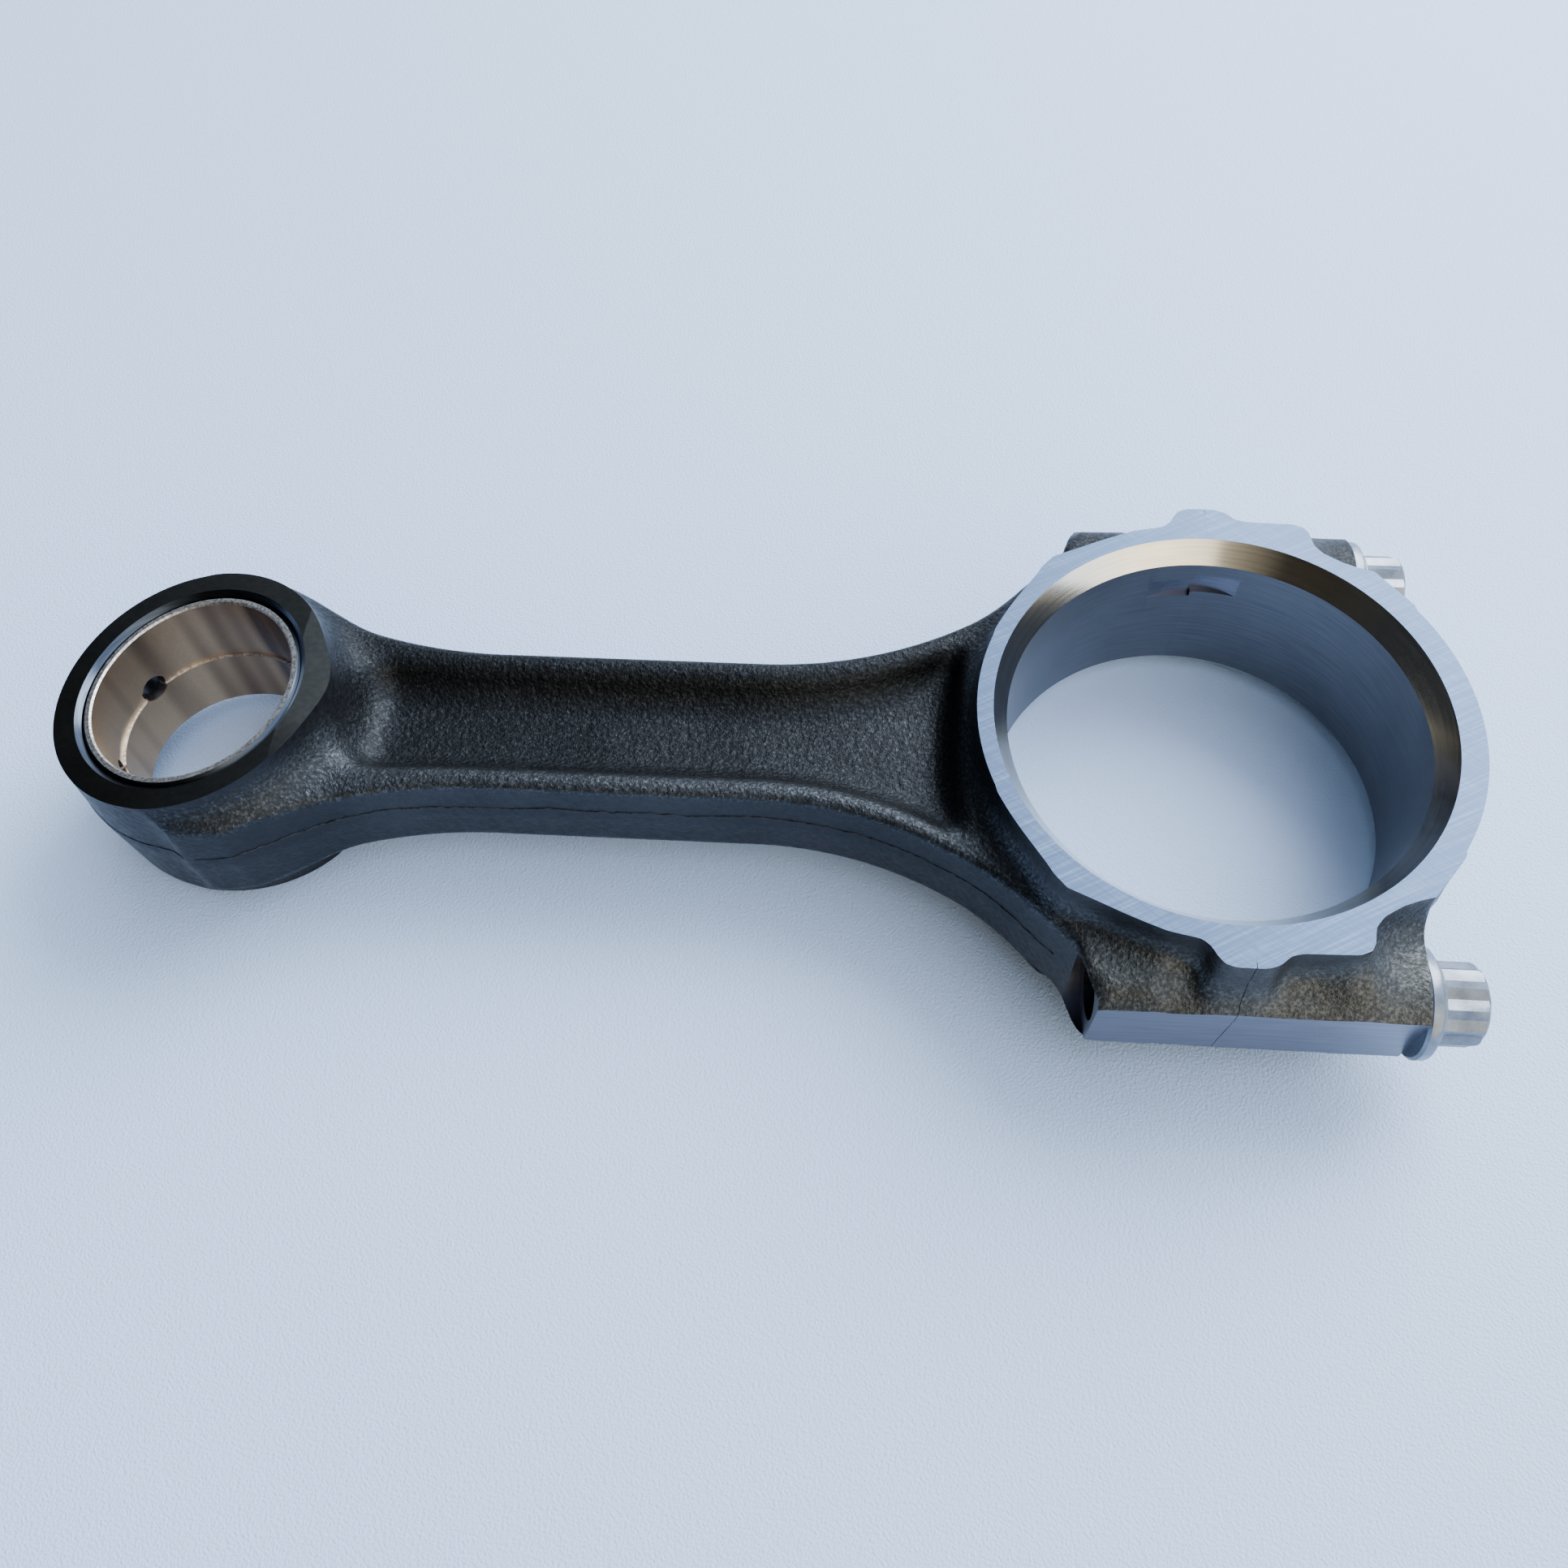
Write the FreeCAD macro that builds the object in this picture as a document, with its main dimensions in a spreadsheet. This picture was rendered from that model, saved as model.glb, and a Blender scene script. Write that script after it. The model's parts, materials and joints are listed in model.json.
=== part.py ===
import FreeCAD, Part
import math
import os
import re
import Sketcher

# Connecting rod of a small diesel engine, fracture-split at the big end.
#
# The rod is one drop forging.  It is machined whole, cracked across the
# crank bore into rod and bearing cap, and bolted back together with two
# twelve-point flange bolts.  A grooved bush is pressed into the small end.
#
# Row frame, millimetres: origin on the crank bore axis at mid width, +Z along
# that bore, the small end towards -X and the bolt heads towards +X.  The
# split lies in the plane x = 0.

doc = FreeCAD.newDocument("connecting_rod_assembly")
sheet = doc.addObject("Spreadsheet::Sheet", "dims")

DRIVING_DIMENSIONS = (
    # whole rod
    ("centre_distance", 194.0, "pin bore axis to crank bore axis"),
    ("rod_width", 39.7, "across the ground faces, along the bores"),
    ("draft_angle", 3.0, "forging draft, degrees from the die line"),
    # big end
    ("crank_bore_dia", 77.0, "housing bore for the bearing shells"),
    ("ring_wall_rod", 5.8, "ring wall on the rod side, at the face"),
    ("ring_wall_cap", 7.5, "thicker ring wall round the crown of the cap"),
    ("thick_ring_from", 31.0, "split plane to the start of that thicker wall"),
    ("mouth_depth", 4.5, "bore mouth chamfer, measured along the bore"),
    ("mouth_reach", 2.9, "bore mouth chamfer, measured across the bore"),
    # bolts and their bosses
    ("bolt_wall", 7.0, "crank bore wall to bolt axis"),
    ("boss_radius", 10.7, "forged boss round each bolt"),
    ("boss_length_rod", 23.0, "split plane to the open end of the thread"),
    ("boss_length_cap", 32.5, "split plane to the bolt seat"),
    ("flat_from_bolt", 7.3, "bolt axis to the milled side flat"),
    ("relief_radius", 10.5, "spot-face behind the threaded hole"),
    ("relief_depth", 3.5, "how far that spot-face cuts into the shoulder"),
    ("seat_radius", 12.0, "spot-face under the bolt head"),
    ("thread_dia", 12.0, "bolt thread, major diameter"),
    ("thread_gap", 0.05, "radial gap between bolt and thread wall"),
    ("cap_hole_gap", 0.4, "radial gap between bolt and cap hole"),
    # face outline beside each bolt boss, at full rod width, from the shank
    # round to the crown of the cap
    ("rail_angle_rod", 27.0, "ring angle where the rod's rail begins, degrees"),
    ("rail_tip_past", 8.0, "rail tip, past the open end of the thread"),
    ("rail_tip_in", 12.0, "rail tip, inside the bolt axis"),
    ("rail_full_past", 3.5, "full rail, past the open end of the thread"),
    ("rail_in_rod", 8.5, "full rail, inside the bolt axis"),
    ("rail_rise_from", 13.0, "split plane to the rise towards the pad"),
    ("rail_rise_in", 2.7, "that rise, inside the bolt axis"),
    ("pad_foot_rod", 6.5, "split plane to the foot of the pad, rod side"),
    ("pad_foot_in", 1.0, "that foot, inside the bolt axis"),
    ("pad_edge_rod", 3.0, "split plane to the edge of the pad, rod side"),
    ("pad_out", 2.7, "proud pad over the split, outside the bolt axis"),
    ("pad_edge_cap", 2.5, "split plane to the edge of the pad, cap side"),
    ("pad_foot_cap", 6.5, "split plane to the foot of the pad, cap side"),
    ("pad_foot_out", 0.5, "that foot, outside the bolt axis"),
    ("rail_in_cap", 0.3, "cap rail, inside the bolt axis"),
    ("rail_end_cap", 20.4, "split plane to the end of the cap rail"),
    ("rail_corner", 1.5, "corner taken off the end of the cap rail"),
    ("rail_back_in", 6.0, "behind the cap rail, inside the bolt axis"),
    ("rail_back_run", 1.0, "end of the cap rail to that point"),
    ("seat_pad_short", 5.5, "pad beside the bolt seat, short of the seat"),
    ("seat_pad_in", 10.0, "that pad, inside the bolt axis"),
    ("seat_edge_short", 0.5, "last corner, short of the bolt seat"),
    ("seat_edge_in", 11.0, "last corner, inside the bolt axis"),
    ("rail_angle_cap", 40.0, "ring angle where the cap's rail ends, degrees"),
    # shank
    ("shank_half", 16.0, "half the shank's breadth at the die line"),
    ("shank_depth", 19.8, "across the two flange tops"),
    ("flange_breadth", 4.7, "flange top, inside to outside"),
    ("web_thickness", 7.4, "web between the two recesses"),
    ("recess_draft", 12.0, "slope of the recess walls, degrees"),
    ("recess_corner", 8.5, "corner radius of the recess"),
    ("flare_big_start", 85.0, "crank bore axis to the start of the flare"),
    ("flare_big_radius", 77.0, "flare into the big end"),
    ("flare_small_start", 57.0, "pin bore axis to the start of the flare"),
    ("flare_small_radius", 95.0, "flare into the small end"),
    ("flare_small_end", 24.0, "pin bore axis to the end of that flare"),
    ("shank_root", 10.0, "pin bore axis to the shank's root in the small end"),
    ("shank_root_inset", 1.0, "that root, inside the small end's outline"),
    ("shoulder_run", 6.5, "shoulder from the big flare up to each boss"),
    ("recess_from_pin", 29.0, "pin bore axis to the recess"),
    ("recess_from_crank", 47.5, "crank bore axis to the recess"),
    ("recess_end_run", 4.0, "recess flare to the recess's end wall"),
    ("recess_end_rise", 2.0, "half breadth gained at that end wall"),
    # small end
    ("pin_bore_dia", 40.0, "bush bore for the piston pin"),
    ("bush_wall", 2.0, "wall of the pressed bush"),
    ("bush_inset", 0.56, "bush end below the rod's side face"),
    ("small_end_wall", 4.85, "steel round the bush, at the face"),
    ("taper_start", 20.8, "pin bore axis to the start of the tapered faces"),
    ("taper_angle", 7.8, "slope of the tapered faces, degrees"),
    ("oil_groove_width", 3.0, "groove round the middle of the bush"),
    ("oil_groove_depth", 0.7, "depth of that groove"),
    ("oil_hole_dia", 5.0, "each of the two oil holes"),
    ("oil_hole_spread", 30.0, "oil hole to the crown, degrees"),
    # bearing shell notches, cut into the far side of the crank bore
    ("tang_width", 5.0, "width of each notch"),
    ("tang_depth", 1.0, "depth of each notch at the split"),
    ("tang_cutter_radius", 20.0, "radius of the notch cutter"),
    ("tang_rod_height", 8.2, "mid width to the notch in the rod"),
    ("tang_cap_height", 9.6, "mid width to the notch in the cap"),
    # bolts
    ("bolt_length", 50.0, "under the head to the tip"),
    ("plain_length", 27.0, "unthreaded shank under the head"),
    ("plain_dia", 11.0, "diameter of that shank"),
    ("collar_radius", 10.1, "flange under the head"),
    ("collar_height", 3.4, "height of that flange"),
    ("head_across_flats", 13.0, "twelve-point head"),
    ("head_height", 11.7, "seat to the top of the head"),
    ("head_dish", 1.0, "depth of the dish in the top of the head"),
    ("head_rim", 2.5, "rim round that dish, from the flats"),
    ("tip_chamfer", 1.2, "chamfer on the bolt tip and head"),
    # cutters
    ("tool_overrun", 1.0, "how far a cutter runs past the steel"),
)

for line, (alias, value, meaning) in enumerate(DRIVING_DIMENSIONS, start=1):
    sheet.set("A%d" % line, meaning)
    sheet.set("B%d" % line, "%g" % value)
    sheet.setAlias("B%d" % line, alias)

# Sizes that follow from the driving ones, worked out by the sheet itself.
DERIVED_DIMENSIONS = (
    ("half_width", "=rod_width / 2"),
    ("draft_run", "=rod_width / 2 * tan(draft_angle)"),
    ("crank_bore_radius", "=crank_bore_dia / 2"),
    ("bolt_offset", "=crank_bore_dia / 2 + bolt_wall"),
    ("seat_bore_radius", "=pin_bore_dia / 2 + bush_wall"),
    ("small_end_radius", "=pin_bore_dia / 2 + bush_wall + small_end_wall"),
    ("ring_radius_rod", "=crank_bore_dia / 2 + ring_wall_rod"),
    ("ring_radius_cap", "=crank_bore_dia / 2 + ring_wall_cap"),
    ("recess_half", "=shank_half - flange_breadth - shank_depth / 2 * tan(draft_angle)"),
    ("recess_drop", "=(shank_depth - web_thickness) / 2"),
    ("taper_drop", "=(small_end_radius + taper_start + draft_run) * tan(taper_angle)"),
)
for line, (alias, formula) in enumerate(DERIVED_DIMENSIONS, start=1):
    sheet.set("D%d" % line, formula)
    sheet.setAlias("D%d" % line, alias)
doc.recompute()


def size(text):
    """Value of an expression written in the sheet's aliases."""
    return float(sheet.evalExpression(text))


def bound(text):
    """The expression as other objects write it: every alias has an underscore."""
    return re.sub(r"\b[a-z]+(?:_[a-z]+)+\b", r"dims.\g<0>", text)


def bind(item, **formulas):
    """Tie properties of an object to expressions in the sheet's aliases."""
    for name, text in formulas.items():
        item.setExpression(name, bound(text))


# ---------------------------------------------------------------- sketching

def new_sketch(body, name, plane, height=None):
    """Sketch on one of the body's own origin planes, or parallel to it."""
    sketch = body.newObject("Sketcher::SketchObject", name)
    origin_plane = [f for f in body.Origin.OriginFeatures if f.Role == plane][0]
    sketch.AttachmentSupport = [(origin_plane, "")]
    sketch.MapMode = "FlatFace"
    if height:
        sketch.AttachmentOffset.Base.z = size(height)
        sketch.setExpression("AttachmentOffset.Base.z", bound(height))
    return sketch


def hold(sketch, geometry, vertex, across, up):
    """Drive a vertex's distances from the sketch origin by expressions."""
    for kind, axis, text in (("DistanceX", -2, across), ("DistanceY", -1, up)):
        if text.startswith("~"):
            continue
        value = size(text)
        if abs(value) < 1e-9:
            sketch.addConstraint(Sketcher.Constraint("PointOnObject", geometry, vertex, axis))
            continue
        ends = (-1, 1, geometry, vertex) if value > 0 else (geometry, vertex, -1, 1)
        index = sketch.addConstraint(Sketcher.Constraint(kind, *ends, abs(value)))
        sketch.setExpression("Constraints[%d]" % index, bound(text if value > 0 else "-(%s)" % text))


def set_radius(sketch, geometry, text):
    index = sketch.addConstraint(Sketcher.Constraint("Radius", geometry, size(text)))
    sketch.setExpression("Constraints[%d]" % index, bound(text))


def circle(sketch, across, up, radius):
    centre = FreeCAD.Vector(size(across), size(up), 0)
    geometry = sketch.addGeometry(Part.Circle(centre, FreeCAD.Vector(0, 0, 1), size(radius)), False)
    hold(sketch, geometry, 3, across, up)
    set_radius(sketch, geometry, radius)


def flip(text):
    return "~" + flip(text[1:]) if text.startswith("~") else "-(%s)" % text


def outline(sketch, corners):
    """Closed outline.

    A corner is (across, up, arc).  A coordinate that starts with ~ is only a
    first guess, where an arc through the corner settles it.  arc describes
    the edge that leaves the corner: None for a straight edge, or (centre
    across, centre up, radius, way), way being +1 anticlockwise, -1 clockwise.
    """
    count = len(corners)
    places = [FreeCAD.Vector(size(across.lstrip("~")), size(up.lstrip("~")), 0)
              for across, up, _ in corners]
    edges = []
    for k, (across, up, arc) in enumerate(corners):
        begin, end = places[k], places[(k + 1) % count]
        if arc is None:
            geometry = sketch.addGeometry(Part.LineSegment(begin, end), False)
            edges.append((geometry, 1, 2))
            continue
        cx, cy, radius, way = arc
        centre = FreeCAD.Vector(size(cx), size(cy), 0)
        angles = [math.atan2(p.y - centre.y, p.x - centre.x) for p in (begin, end)]
        first, last = angles if way > 0 else reversed(angles)
        if last < first:
            last += 2 * math.pi
        rim = Part.Circle(centre, FreeCAD.Vector(0, 0, 1), size(radius))
        geometry = sketch.addGeometry(Part.ArcOfCircle(rim, first, last), False)
        edges.append((geometry, 1, 2) if way > 0 else (geometry, 2, 1))
    for k, (geometry, _, last) in enumerate(edges):
        following, first, _ = edges[(k + 1) % count]
        sketch.addConstraint(Sketcher.Constraint("Coincident", geometry, last, following, first))
    for k, (across, up, arc) in enumerate(corners):
        geometry, first, _ = edges[k]
        hold(sketch, geometry, first, across, up)
        if arc is not None:
            hold(sketch, geometry, 3, arc[0], arc[1])
            set_radius(sketch, geometry, arc[2])


def both_sides(upper):
    """An outline with its mirror image below the axis; upper runs from the
    axis side to the axis side and never touches the axis."""
    lower = []
    for k in range(len(upper) - 1, -1, -1):
        across, up, _ = upper[k]
        arc = upper[k - 1][2] if k > 0 else None
        if arc is not None:
            arc = (arc[0], flip(arc[1]), arc[2], arc[3])
        lower.append((across, flip(up), arc))
    return upper + lower


# ----------------------------------------------------------------- features

def grow(body, kind, name, sketch, length, **more):
    """Pad or pocket of a sketch; more holds further sizes and options."""
    feature = body.newObject("PartDesign::" + kind, name)
    feature.Profile = sketch
    feature.SideType = more.pop("side", "Symmetric")
    feature.Reversed = more.pop("backwards", False)
    bind(feature, Length=length, **more)
    doc.recompute()
    return feature


def turn(body, kind, name, sketch):
    """Revolution or groove of a sketch, a full turn about its vertical axis."""
    feature = body.newObject("PartDesign::" + kind, name)
    feature.Profile = sketch
    feature.ReferenceAxis = (sketch, ["V_Axis"])
    feature.Angle = 360
    doc.recompute()
    return feature


def mirror(body, name, features, plane):
    feature = body.newObject("PartDesign::Mirrored", name)
    feature.Originals = features
    origin_plane = [f for f in body.Origin.OriginFeatures if f.Role == plane][0]
    feature.MirrorPlane = (origin_plane, [""])
    body.Tip = feature
    doc.recompute()
    return feature


# ------------------------------------------------------- the machined forging

forging = doc.addObject("PartDesign::Body", "machined_forging")

# Shank, from inside the small end to the split, flaring both ways.
beam = new_sketch(forging, "shank_outline", "XY_Plane")
small_flare = ("-centre_distance + flare_small_start", "shank_half + flare_small_radius",
               "flare_small_radius", 1)
big_flare = ("-flare_big_start", "shank_half + flare_big_radius", "flare_big_radius", 1)
outline(beam, both_sides([
    ("-centre_distance + shank_root", "small_end_radius - shank_root_inset", None),
    ("-centre_distance + flare_small_end", "~shank_half + 6", small_flare),
    ("-centre_distance + flare_small_start", "~shank_half", None),
    ("-flare_big_start", "~shank_half", big_flare),
    ("-boss_length_rod - shoulder_run", "~shank_half + 24", None),
    ("-boss_length_rod", "bolt_offset", None),
    ("0", "bolt_offset", None),
]))
grow(forging, "Pad", "shank", beam, "shank_depth", TaperAngle="-draft_angle")

# Small end and crank ring: full-width discs with draft, and a thicker crown
# on the cap.
pin_disc = new_sketch(forging, "small_end_outline", "XY_Plane")
circle(pin_disc, "-centre_distance", "0", "small_end_radius + draft_run")
grow(forging, "Pad", "small_end", pin_disc, "rod_width", TaperAngle="-draft_angle")

ring_disc = new_sketch(forging, "ring_outline", "XY_Plane")
circle(ring_disc, "0", "0", "ring_radius_rod + draft_run")
grow(forging, "Pad", "crank_ring", ring_disc, "rod_width", TaperAngle="-draft_angle")

crown_disc = new_sketch(forging, "crown_outline", "XY_Plane")
crown_arc = ("0", "0", "ring_radius_cap + draft_run", -1)
outline(crown_disc, [
    ("thick_ring_from", "~bolt_offset - seat_pad_in", crown_arc),
    ("thick_ring_from", "~-(bolt_offset - seat_pad_in)", None),
])
grow(forging, "Pad", "cap_crown", crown_disc, "rod_width", TaperAngle="-draft_angle")

# The face widens beside each bolt into rails, with a proud pad at the split.
rail_corners = [
    ("-ring_radius_rod * cos(rail_angle_rod)", "ring_radius_rod * sin(rail_angle_rod)", None),
    ("-boss_length_rod - rail_tip_past", "bolt_offset - rail_tip_in", None),
    ("-boss_length_rod - rail_full_past", "bolt_offset - rail_in_rod", None),
    ("-rail_rise_from", "bolt_offset - rail_rise_in", None),
    ("-pad_foot_rod", "bolt_offset - pad_foot_in", None),
    ("-pad_edge_rod", "bolt_offset + pad_out", None),
    ("pad_edge_cap", "bolt_offset + pad_out", None),
    ("pad_foot_cap", "bolt_offset + pad_foot_out", None),
    ("rail_end_cap - rail_corner", "bolt_offset - rail_in_cap", None),
    ("rail_end_cap", "bolt_offset - rail_in_cap - rail_corner", None),
    ("rail_end_cap + rail_back_run", "bolt_offset - rail_back_in", None),
    ("boss_length_cap - seat_pad_short", "bolt_offset - seat_pad_in", None),
    ("boss_length_cap - seat_edge_short", "bolt_offset - seat_edge_in", None),
    ("ring_radius_cap * cos(rail_angle_cap)", "ring_radius_cap * sin(rail_angle_cap)", None),
    ("0", "0", None),
]
for side in ("far", "near"):
    rail = new_sketch(forging, side + "_rail_outline", "XY_Plane")
    if side == "near":
        rail_corners = [(across, flip(up), arc) for across, up, arc in rail_corners]
    outline(rail, rail_corners)
    grow(forging, "Pad", side + "_rail", rail, "rod_width")

# Bolt bosses, from the open end of each thread to the bolt seat.
bosses = new_sketch(forging, "boss_outline", "YZ_Plane")
for side in ("bolt_offset", "-bolt_offset"):
    circle(bosses, side, "0", "boss_radius")
grow(forging, "Pad", "bolt_bosses", bosses, "boss_length_cap", side="Two sides",
     Length2="boss_length_rod")

# I-section: a recess in each side of the shank, with steep sloping walls.
recess = new_sketch(forging, "recess_outline", "XY_Plane", "web_thickness / 2")
wall = "recess_half - recess_drop * tan(recess_draft)"
corner = "recess_corner"
pin_end = "-centre_distance + recess_from_pin"
recess_flare = ("-flare_big_start", "shank_half + flare_big_radius",
                "flare_big_radius + shank_half - (%s)" % wall, 1)
outline(recess, both_sides([
    ("~" + pin_end, "%s - %s" % (wall, corner),
     ("%s + %s" % (pin_end, corner), "%s - %s" % (wall, corner), corner, -1)),
    ("%s + %s" % (pin_end, corner), "~" + wall, None),
    ("-flare_big_start", "~" + wall, recess_flare),
    ("-recess_from_crank - recess_end_run", "~shank_half - 3", None),
    ("-recess_from_crank", "recess_half + recess_end_rise", None),
]))
upper_recess = grow(forging, "Pocket", "upper_recess", recess, "recess_drop", side="One side",
                    backwards=True, TaperAngle="recess_draft")
mirror(forging, "lower_recess", [upper_recess], "XY_Plane")

# Tapered sides of the small end, running down towards the crown.
taper = new_sketch(forging, "taper_outline", "XZ_Plane")
for way in (1, -1):
    lift = (lambda text: text) if way > 0 else flip
    crown = "-centre_distance - small_end_radius - draft_run - tool_overrun"
    outline(taper, [
        ("-centre_distance + taper_start", lift("half_width"), None),
        (crown, lift("half_width"), None),
        (crown, lift("half_width - (small_end_radius + draft_run + tool_overrun + taper_start)"
                     " * tan(taper_angle)"), None),
    ])
grow(forging, "Pocket", "tapered_faces", taper, "4 * small_end_radius")

# Bores: crank bore with its two wide mouth chamfers, and the bush seat.
bore = new_sketch(forging, "crank_bore_section", "XZ_Plane")
outline(bore, [
    ("0", "-half_width", None),
    ("crank_bore_radius + mouth_reach", "-half_width", None),
    ("crank_bore_radius", "-half_width + mouth_depth", None),
    ("crank_bore_radius", "half_width - mouth_depth", None),
    ("crank_bore_radius + mouth_reach", "half_width", None),
    ("0", "half_width", None),
])
turn(forging, "Groove", "crank_bore", bore)

seat = new_sketch(forging, "bush_seat_outline", "XY_Plane")
circle(seat, "-centre_distance", "0", "seat_bore_radius")
grow(forging, "Pocket", "bush_seat", seat, "rod_width + 2 * tool_overrun")

# Bolt holes: threaded in the rod, clear in the cap, with both spot-faces.
threads = new_sketch(forging, "thread_outline", "YZ_Plane")
clear_holes = new_sketch(forging, "clear_hole_outline", "YZ_Plane")
relief = new_sketch(forging, "relief_outline", "YZ_Plane", "-boss_length_rod")
seats = new_sketch(forging, "seat_outline", "YZ_Plane", "boss_length_cap")
for side in ("bolt_offset", "-bolt_offset"):
    circle(threads, side, "0", "thread_dia / 2 + thread_gap")
    circle(clear_holes, side, "0", "thread_dia / 2 + cap_hole_gap")
    circle(relief, side, "0", "relief_radius")
    circle(seats, side, "0", "seat_radius")
grow(forging, "Pocket", "threaded_holes", threads, "boss_length_rod + tool_overrun",
     side="One side")
grow(forging, "Pocket", "clear_holes", clear_holes, "boss_length_cap + tool_overrun",
     side="One side", backwards=True)
grow(forging, "Pocket", "thread_relief", relief, "relief_depth", side="One side")
grow(forging, "Pocket", "bolt_seats", seats, "boss_length_cap", side="One side", backwards=True)

# Milled flats down the outside of both bosses.
flats = new_sketch(forging, "flat_outline", "XY_Plane")
for lift in ((lambda text: text), flip):
    outline(flats, [
        ("-boss_length_rod - tool_overrun", lift("bolt_offset + flat_from_bolt"), None),
        ("boss_length_cap + tool_overrun", lift("bolt_offset + flat_from_bolt"), None),
        ("boss_length_cap + tool_overrun", lift("bolt_offset + 2 * boss_radius"), None),
        ("-boss_length_rod - tool_overrun", lift("bolt_offset + 2 * boss_radius"), None),
    ])
grow(forging, "Pocket", "side_flats", flats, "3 * boss_radius")

# Notches for the shell tangs, one in each half, deepest at the split.
cutter_centre = "crank_bore_radius + tang_depth - tang_cutter_radius"
for half, way, height in (("rod", -1, "tang_rod_height"), ("cap", 1, "tang_cap_height")):
    notch = new_sketch(forging, half + "_tang_outline", "XY_Plane", height)
    outline(notch, [
        ("0", cutter_centre, None),
        ("0", "~crank_bore_radius + tang_depth",
         ("0", cutter_centre, "tang_cutter_radius", -way)),
        ("~%d * tang_cutter_radius" % way, cutter_centre, None),
    ])
    grow(forging, "Pocket", half + "_tang_notch", notch, "tang_width")

# ------------------------------------------------------------ small-end bush

bush = doc.addObject("PartDesign::Body", "bush_blank")
tube = new_sketch(bush, "bush_outline", "XY_Plane")
circle(tube, "-centre_distance", "0", "seat_bore_radius")
circle(tube, "-centre_distance", "0", "pin_bore_dia / 2")
grow(bush, "Pad", "bush_tube", tube, "rod_width - 2 * bush_inset")

# Its ends follow the rod's tapered sides, sunk by the same small amount.
ends = new_sketch(bush, "bush_end_outline", "XZ_Plane")
sunk = "half_width - bush_inset"
for way in (1, -1):
    lift = (lambda text: text) if way > 0 else flip
    crown = "-centre_distance - seat_bore_radius - tool_overrun"
    outline(ends, [
        ("-centre_distance + taper_start", lift(sunk), None),
        (crown, lift(sunk), None),
        (crown, lift("%s - (seat_bore_radius + tool_overrun + taper_start) * tan(taper_angle)" % sunk),
         None),
    ])
grow(bush, "Pocket", "tapered_ends", ends, "4 * seat_bore_radius")

ring = new_sketch(bush, "oil_groove_outline", "XY_Plane")
circle(ring, "-centre_distance", "0", "pin_bore_dia / 2 + oil_groove_depth")
grow(bush, "Pocket", "oil_groove", ring, "oil_groove_width")

# Two oil holes, drilled through the rod and the pressed bush together.
drills = []
for name, way in (("far", -1), ("near", 1)):
    drill = doc.addObject("Part::Cylinder", name + "_oil_drill")
    heading = "(180 + %d * oil_hole_spread)" % way
    bind(drill, Radius="oil_hole_dia / 2", Height="2 * small_end_radius")
    drill.Placement.Rotation = FreeCAD.Rotation(FreeCAD.Vector(-1, 1, 0), 90)
    for path, text in (
        (".Placement.Base.x", "-centre_distance"),
        (".Placement.Rotation.Axis.x", "-sin" + heading),
        (".Placement.Rotation.Axis.y", "cos" + heading),
    ):
        drill.setExpression(path, bound(text))
    drills.append(drill)
oil_drills = doc.addObject("Part::MultiFuse", "oil_drills")
oil_drills.Shapes = drills
doc.recompute()


# ---------------------------------------------------------------- cap bolts

def cap_bolt(name, side):
    """Twelve-point flange bolt, drawn head up with its seat at the origin."""
    bolt = doc.addObject("PartDesign::Body", name)

    blank = new_sketch(bolt, name + "_section", "XZ_Plane")
    outline(blank, [
        ("0", "-bolt_length", None),
        ("thread_dia / 2 - tip_chamfer", "-bolt_length", None),
        ("thread_dia / 2", "-bolt_length + tip_chamfer", None),
        ("thread_dia / 2", "-plain_length", None),
        ("plain_dia / 2", "-plain_length + (thread_dia - plain_dia) / 2", None),
        ("plain_dia / 2", "0", None),
        ("collar_radius", "0", None),
        ("collar_radius", "collar_height / 2", None),
        ("head_across_flats / 2", "collar_height", None),
        ("0", "collar_height", None),
    ])
    turn(bolt, "Revolution", name + "_blank", blank)

    # Two hexagons, half a flat apart, make the twelve points.
    for number, start in (("one", 0), ("two", 30)):
        hexagon = new_sketch(bolt, name + "_hexagon_" + number, "XY_Plane", "collar_height / 2")
        point = "head_across_flats / sqrt(3) * %s(%d)"
        outline(hexagon, [
            (point % ("cos", start + 60 * k), point % ("sin", start + 60 * k), None)
            for k in range(6)
        ])
        grow(bolt, "Pad", name + "_points_" + number, hexagon,
             "head_height - collar_height / 2", side="One side")

    # The head's rim is chamfered and its top is dished by the forging die.
    rim = new_sketch(bolt, name + "_rim_section", "XZ_Plane")
    point_radius = "head_across_flats / sqrt(3)"
    outline(rim, [
        (point_radius + " - tip_chamfer", "head_height", None),
        (point_radius + " + tool_overrun", "head_height", None),
        (point_radius + " + tool_overrun", "head_height - tip_chamfer - tool_overrun", None),
    ])
    outline(rim, [
        ("0", "head_height", None),
        ("0", "head_height - head_dish", None),
        ("head_across_flats / 2 - head_rim", "head_height", None),
    ])
    turn(bolt, "Groove", name + "_rim", rim)

    bolt.Placement.Rotation = FreeCAD.Rotation(FreeCAD.Vector(0, 1, 0), 90)
    bolt.setExpression(".Placement.Base.x", bound("boss_length_cap"))
    bolt.setExpression(".Placement.Base.y", bound(side))
    return bolt


# --------------------------------------------------------------- the pieces

# The machined forging is drilled, then cracked along the plane x = 0.
drilled = doc.addObject("Part::Cut", "drilled_forging")
drilled.Base = forging
drilled.Tool = oil_drills

cap_side = doc.addObject("Part::Box", "cap_side_of_split")
bind(cap_side, Length="2 * boss_length_cap + ring_radius_cap",
     Width="4 * (bolt_offset + boss_radius)", Height="2 * rod_width")
cap_side.setExpression(".Placement.Base.y", bound("-2 * (bolt_offset + boss_radius)"))
cap_side.setExpression(".Placement.Base.z", bound("-rod_width"))

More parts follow.
